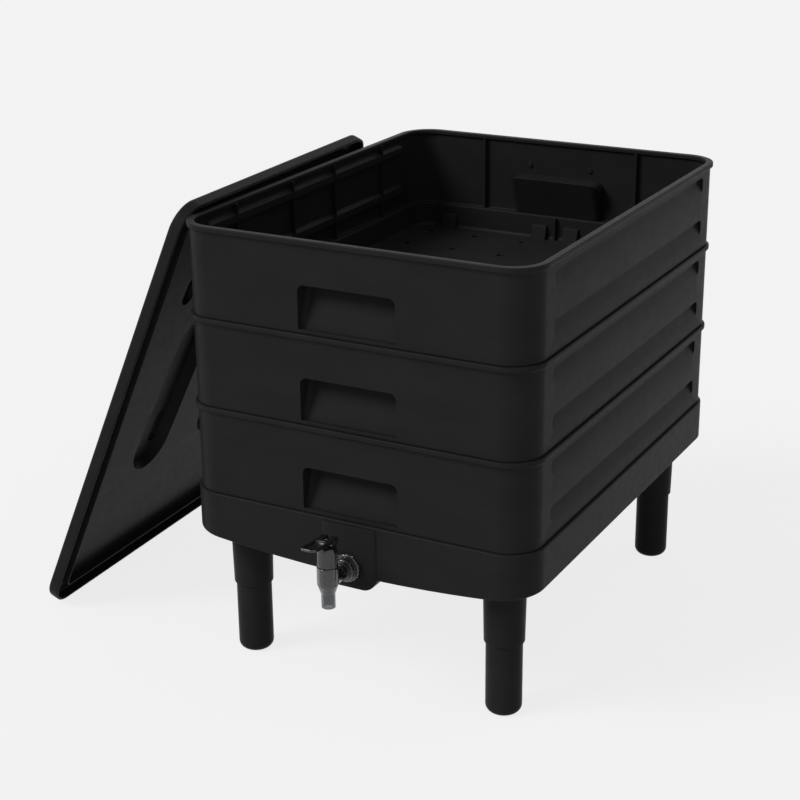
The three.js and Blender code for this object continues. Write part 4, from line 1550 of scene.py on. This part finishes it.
@dataclass
class LeaningLid:
    """The lid: a plate with a skirt, an inner locating ridge and shapes pressed up through it."""

    plan: StackPlan
    finishes: Finishes
    rim: float
    side_clearance: float = 0.5
    end_clearance: float = 5.0
    wall: float = 3.0
    plate: float = 3.0
    skirt: float = 14.0
    corner: float = 30.0
    ridge_thickness: float = 2.5
    ridge_depth: float = 10.0
    tilt: float = 5.5
    rest_degrees: float = 57.7
    turn_degrees: float = 2.1
    pressings: tuple[Pressing, ...] = (
        Pressing(80.0, 226.0, 9.0, 12.0, 63.0, -22.0), Pressing(26.0, 52.0, 1.0, 15.0, 50.0, -83.0),
        Pressing(30.0, 46.0, 4.0, 6.0, 110.0, 140.0))

    @property
    def overhang(self) -> float:
        """How far the lid's ends stand past the trays'."""
        return self.plan.bead + self.end_clearance + self.wall

    @property
    def width(self) -> float:
        """The lid's whole width."""
        return self.plan.width + 2 * (self.plan.bead + self.side_clearance + self.wall)

    @property
    def length(self) -> float:
        """The lid's whole length."""
        return self.plan.depth + 2 * self.overhang

    def outline(self, inset: float) -> list[Point]:
        """The lid's outline at an inset."""
        return rounded_rectangle(self.width - 2 * inset, self.length - 2 * inset, self.corner - inset, 12)

    def pressed(self, grow: float, low: float) -> list[Solid]:
        """The raised shapes, or with a negative grow the hollows under them.

        Args:
            grow: how much wider and taller they are.
            low: where they start.

        Returns:
            One solid for each shape, on both sides of the middle.
        """
        made = []
        for side in (1, -1):
            for one in self.pressings:
                wide, long = one.width + 2 * grow, one.length + 2 * grow
                shape = prism(rounded_rectangle(wide, long, wide / 2, 10), Axis.UP, low, one.stand + grow,
                              (1 - 2 * one.draft / wide, 1 - 2 * one.draft / long))
                made.append(shape.turned(side * self.tilt, "Z").shifted(side * one.x, one.y))
        return made

    def moulding(self) -> Solid:
        """The lid as it closes the stack, its top at height 0.

        Returns:
            The lid.
        """
        ridge = self.overhang + self.plan.skirt_inset
        inner = ridge + self.ridge_thickness
        deep = -self.plate - self.ridge_depth
        shell = swept(self.outline, filleted([
            (inner + 1, -self.plate, 0), (inner, -self.plate, 0.8), (inner, deep, 1.0), (ridge, deep, 1.0),
            (ridge, -self.plate, 0.8), (self.wall, -self.plate, 2.5), (self.wall, -self.skirt, 0.8),
            (0, -self.skirt, 1.2), (0, 0, 3.5), (self.wall + 8, 0, 0)]))
        raised = [solid.rounded(1.6, 3, 50) for solid in self.pressed(0.0, -self.plate / 2)]
        hollows = self.pressed(-self.plate, -self.plate - 2)
        return shell.plus(*raised).minus(*hollows)

    def leaning(self) -> Matrix:
        """How the closed lid is turned and moved to lean on the top rim.

        Returns:
            The movement, in millimetres.
        """
        turn, rest = math.radians(self.turn_degrees), math.radians(self.rest_degrees)
        radius = self.corner - self.wall + self.plan.gap
        reach = self.length - self.corner + radius * math.sin(rest)
        side = self.corner - radius * math.cos(rest)
        cos = self.rim / reach
        sin = math.sqrt(1 - cos * cos)
        across = Vector((math.sin(turn), -math.cos(turn), 0))
        inward = Vector((math.cos(turn), math.sin(turn), 0))
        up = Vector((0, 0, cos)) + inward * sin
        outward = Vector((0, 0, sin)) - inward * cos
        place = Vector((-self.plan.width / 2 - self.plan.bead, self.plan.corner - self.plan.depth / 2, reach * cos))
        place += inward * (-self.plan.gap / cos) + across * (side - self.width / 2)
        place += up * (self.length / 2 - reach) + outward * self.skirt
        turned = Matrix((across, up, outward)).transposed().to_4x4()
        return Matrix.Translation(place) @ turned

    def build(self) -> list[Piece]:
        """Makes the lid and leans it on the top tray."""
        leaning = self.moulding().moved(self.leaning())
        return [leaning.finished("lid_moulding", self.finishes.tray, "lid", "black_plastic", "lid")]


@dataclass
class Studio:
    """The floor, the light and the camera."""

    floor_size: float = 40.0
    floor_colour: Colour = (0.9, 0.9, 0.9)
    floor_glow: float = 0.9
    world_colour: Colour = (0.99, 0.995, 1.0)
    world_strength: float = 0.42
    world_seen: float = 0.89
    sun_strength: float = 2.3
    sun_angle: float = 26.0
    sun_from: Spot = (-0.5, -0.55, 0.67)
    focal_pixels: float = 1744.0
    image_pixels: float = 800.0
    sensor: float = 36.0
    yaw: float = 28.62
    pitch: float = 20.51
    roll: float = -0.62
    camera_place: Spot = (830.7, -1676.4, 950.0)

    def floor(self) -> None:
        """Makes the pale floor, which shows as the background and keeps the stack's shadow."""
        half = self.floor_size / 2
        mesh = bpy.data.meshes.new("studio_floor")
        mesh.from_pydata([(-half, -half, 0), (half, -half, 0), (half, half, 0), (-half, half, 0)], [],
                         [(0, 1, 2, 3)])
        paint, colour = Paint("studio_floor", self.floor_colour), rgba(self.floor_colour)
        paint.fill(paint.shader, {"Base Color": colour, "Roughness": 0.9, "Specular IOR Level": 0.0})
        glow = paint.node("ShaderNodeEmission", {"Color": colour})
        share = paint.maths("MULTIPLY", paint.background_rays(), self.floor_glow)
        mix = paint.node("ShaderNodeMixShader", {0: share, 1: paint.shader.outputs[0], 2: glow.outputs[0]})
        paint.fill(paint.tree.nodes["Material Output"], {"Surface": mix.outputs[0]})
        mesh.materials.append(paint.material)
        linked("studio_floor", mesh)

    def light(self) -> None:
        """Makes the soft sky, pale where the background shows, and one broad, soft lamp."""
        world = bpy.data.worlds.new("studio")
        world.use_nodes = True
        graph = Graph(world.node_tree)
        level = graph.node("ShaderNodeMapRange", {"Value": graph.background_rays(), "To Min": self.world_strength,
                                                  "To Max": self.world_seen})
        graph.fill(world.node_tree.nodes["Background"], {"Color": rgba(self.world_colour),
                                                         "Strength": level.outputs[0]})
        bpy.context.scene.world = world
        lamp = bpy.data.lights.new("soft_key", "SUN")
        lamp.energy = self.sun_strength
        lamp.angle = math.radians(self.sun_angle)
        piece = linked("soft_key", lamp)
        piece.rotation_mode = "QUATERNION"
        piece.rotation_quaternion = (-Vector(self.sun_from)).to_track_quat("-Z", "Y")

    def camera(self) -> None:
        """Sets the camera where the photograph was taken from."""
        yaw, pitch, roll = (math.radians(v) for v in (self.yaw, self.pitch, self.roll))
        back = Vector((math.sin(yaw) * math.cos(pitch), -math.cos(yaw) * math.cos(pitch), math.sin(pitch)))
        level = Vector((0, 0, 1)).cross(back).normalized()
        upright = back.cross(level)
        right = level * math.cos(roll) + upright * math.sin(roll)
        up = upright * math.cos(roll) - level * math.sin(roll)
        lens = bpy.data.cameras.new("camera")
        lens.sensor_width = self.sensor
        lens.lens = self.focal_pixels / self.image_pixels * self.sensor
        lens.clip_start, lens.clip_end = 0.05, 100.0
        piece = linked("camera", lens)
        place = Vector(self.camera_place) * MILLIMETRE + stack_middle()
        piece.matrix_world = Matrix.Translation(place) @ Matrix((right, up, back)).transposed().to_4x4()
        bpy.context.scene.camera = piece

    def build(self) -> None:
        """Makes the whole studio."""
        bpy.context.scene.view_settings.view_transform = "Standard"
        self.floor()
        self.light()
        self.camera()


def main() -> None:
    """Builds the wormery piece by piece."""
    logging.basicConfig(level=logging.INFO, format="%(name)s: %(message)s")
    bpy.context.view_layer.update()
    finishes = Finishes()
    plan = StackPlan()
    base = SumpBase(plan, finishes)
    makers = [TrayStack(plan, finishes), base, LegSet(finishes, base), LeverTap(finishes, base),
              LeaningLid(plan, finishes, rim_level("tray_top"))]
    for maker in makers:
        for piece in maker.build():
            log.info("%s: %d faces", piece.name, len(piece.data.polygons))
    Studio().build()


if __name__ == "__main__":
    main()
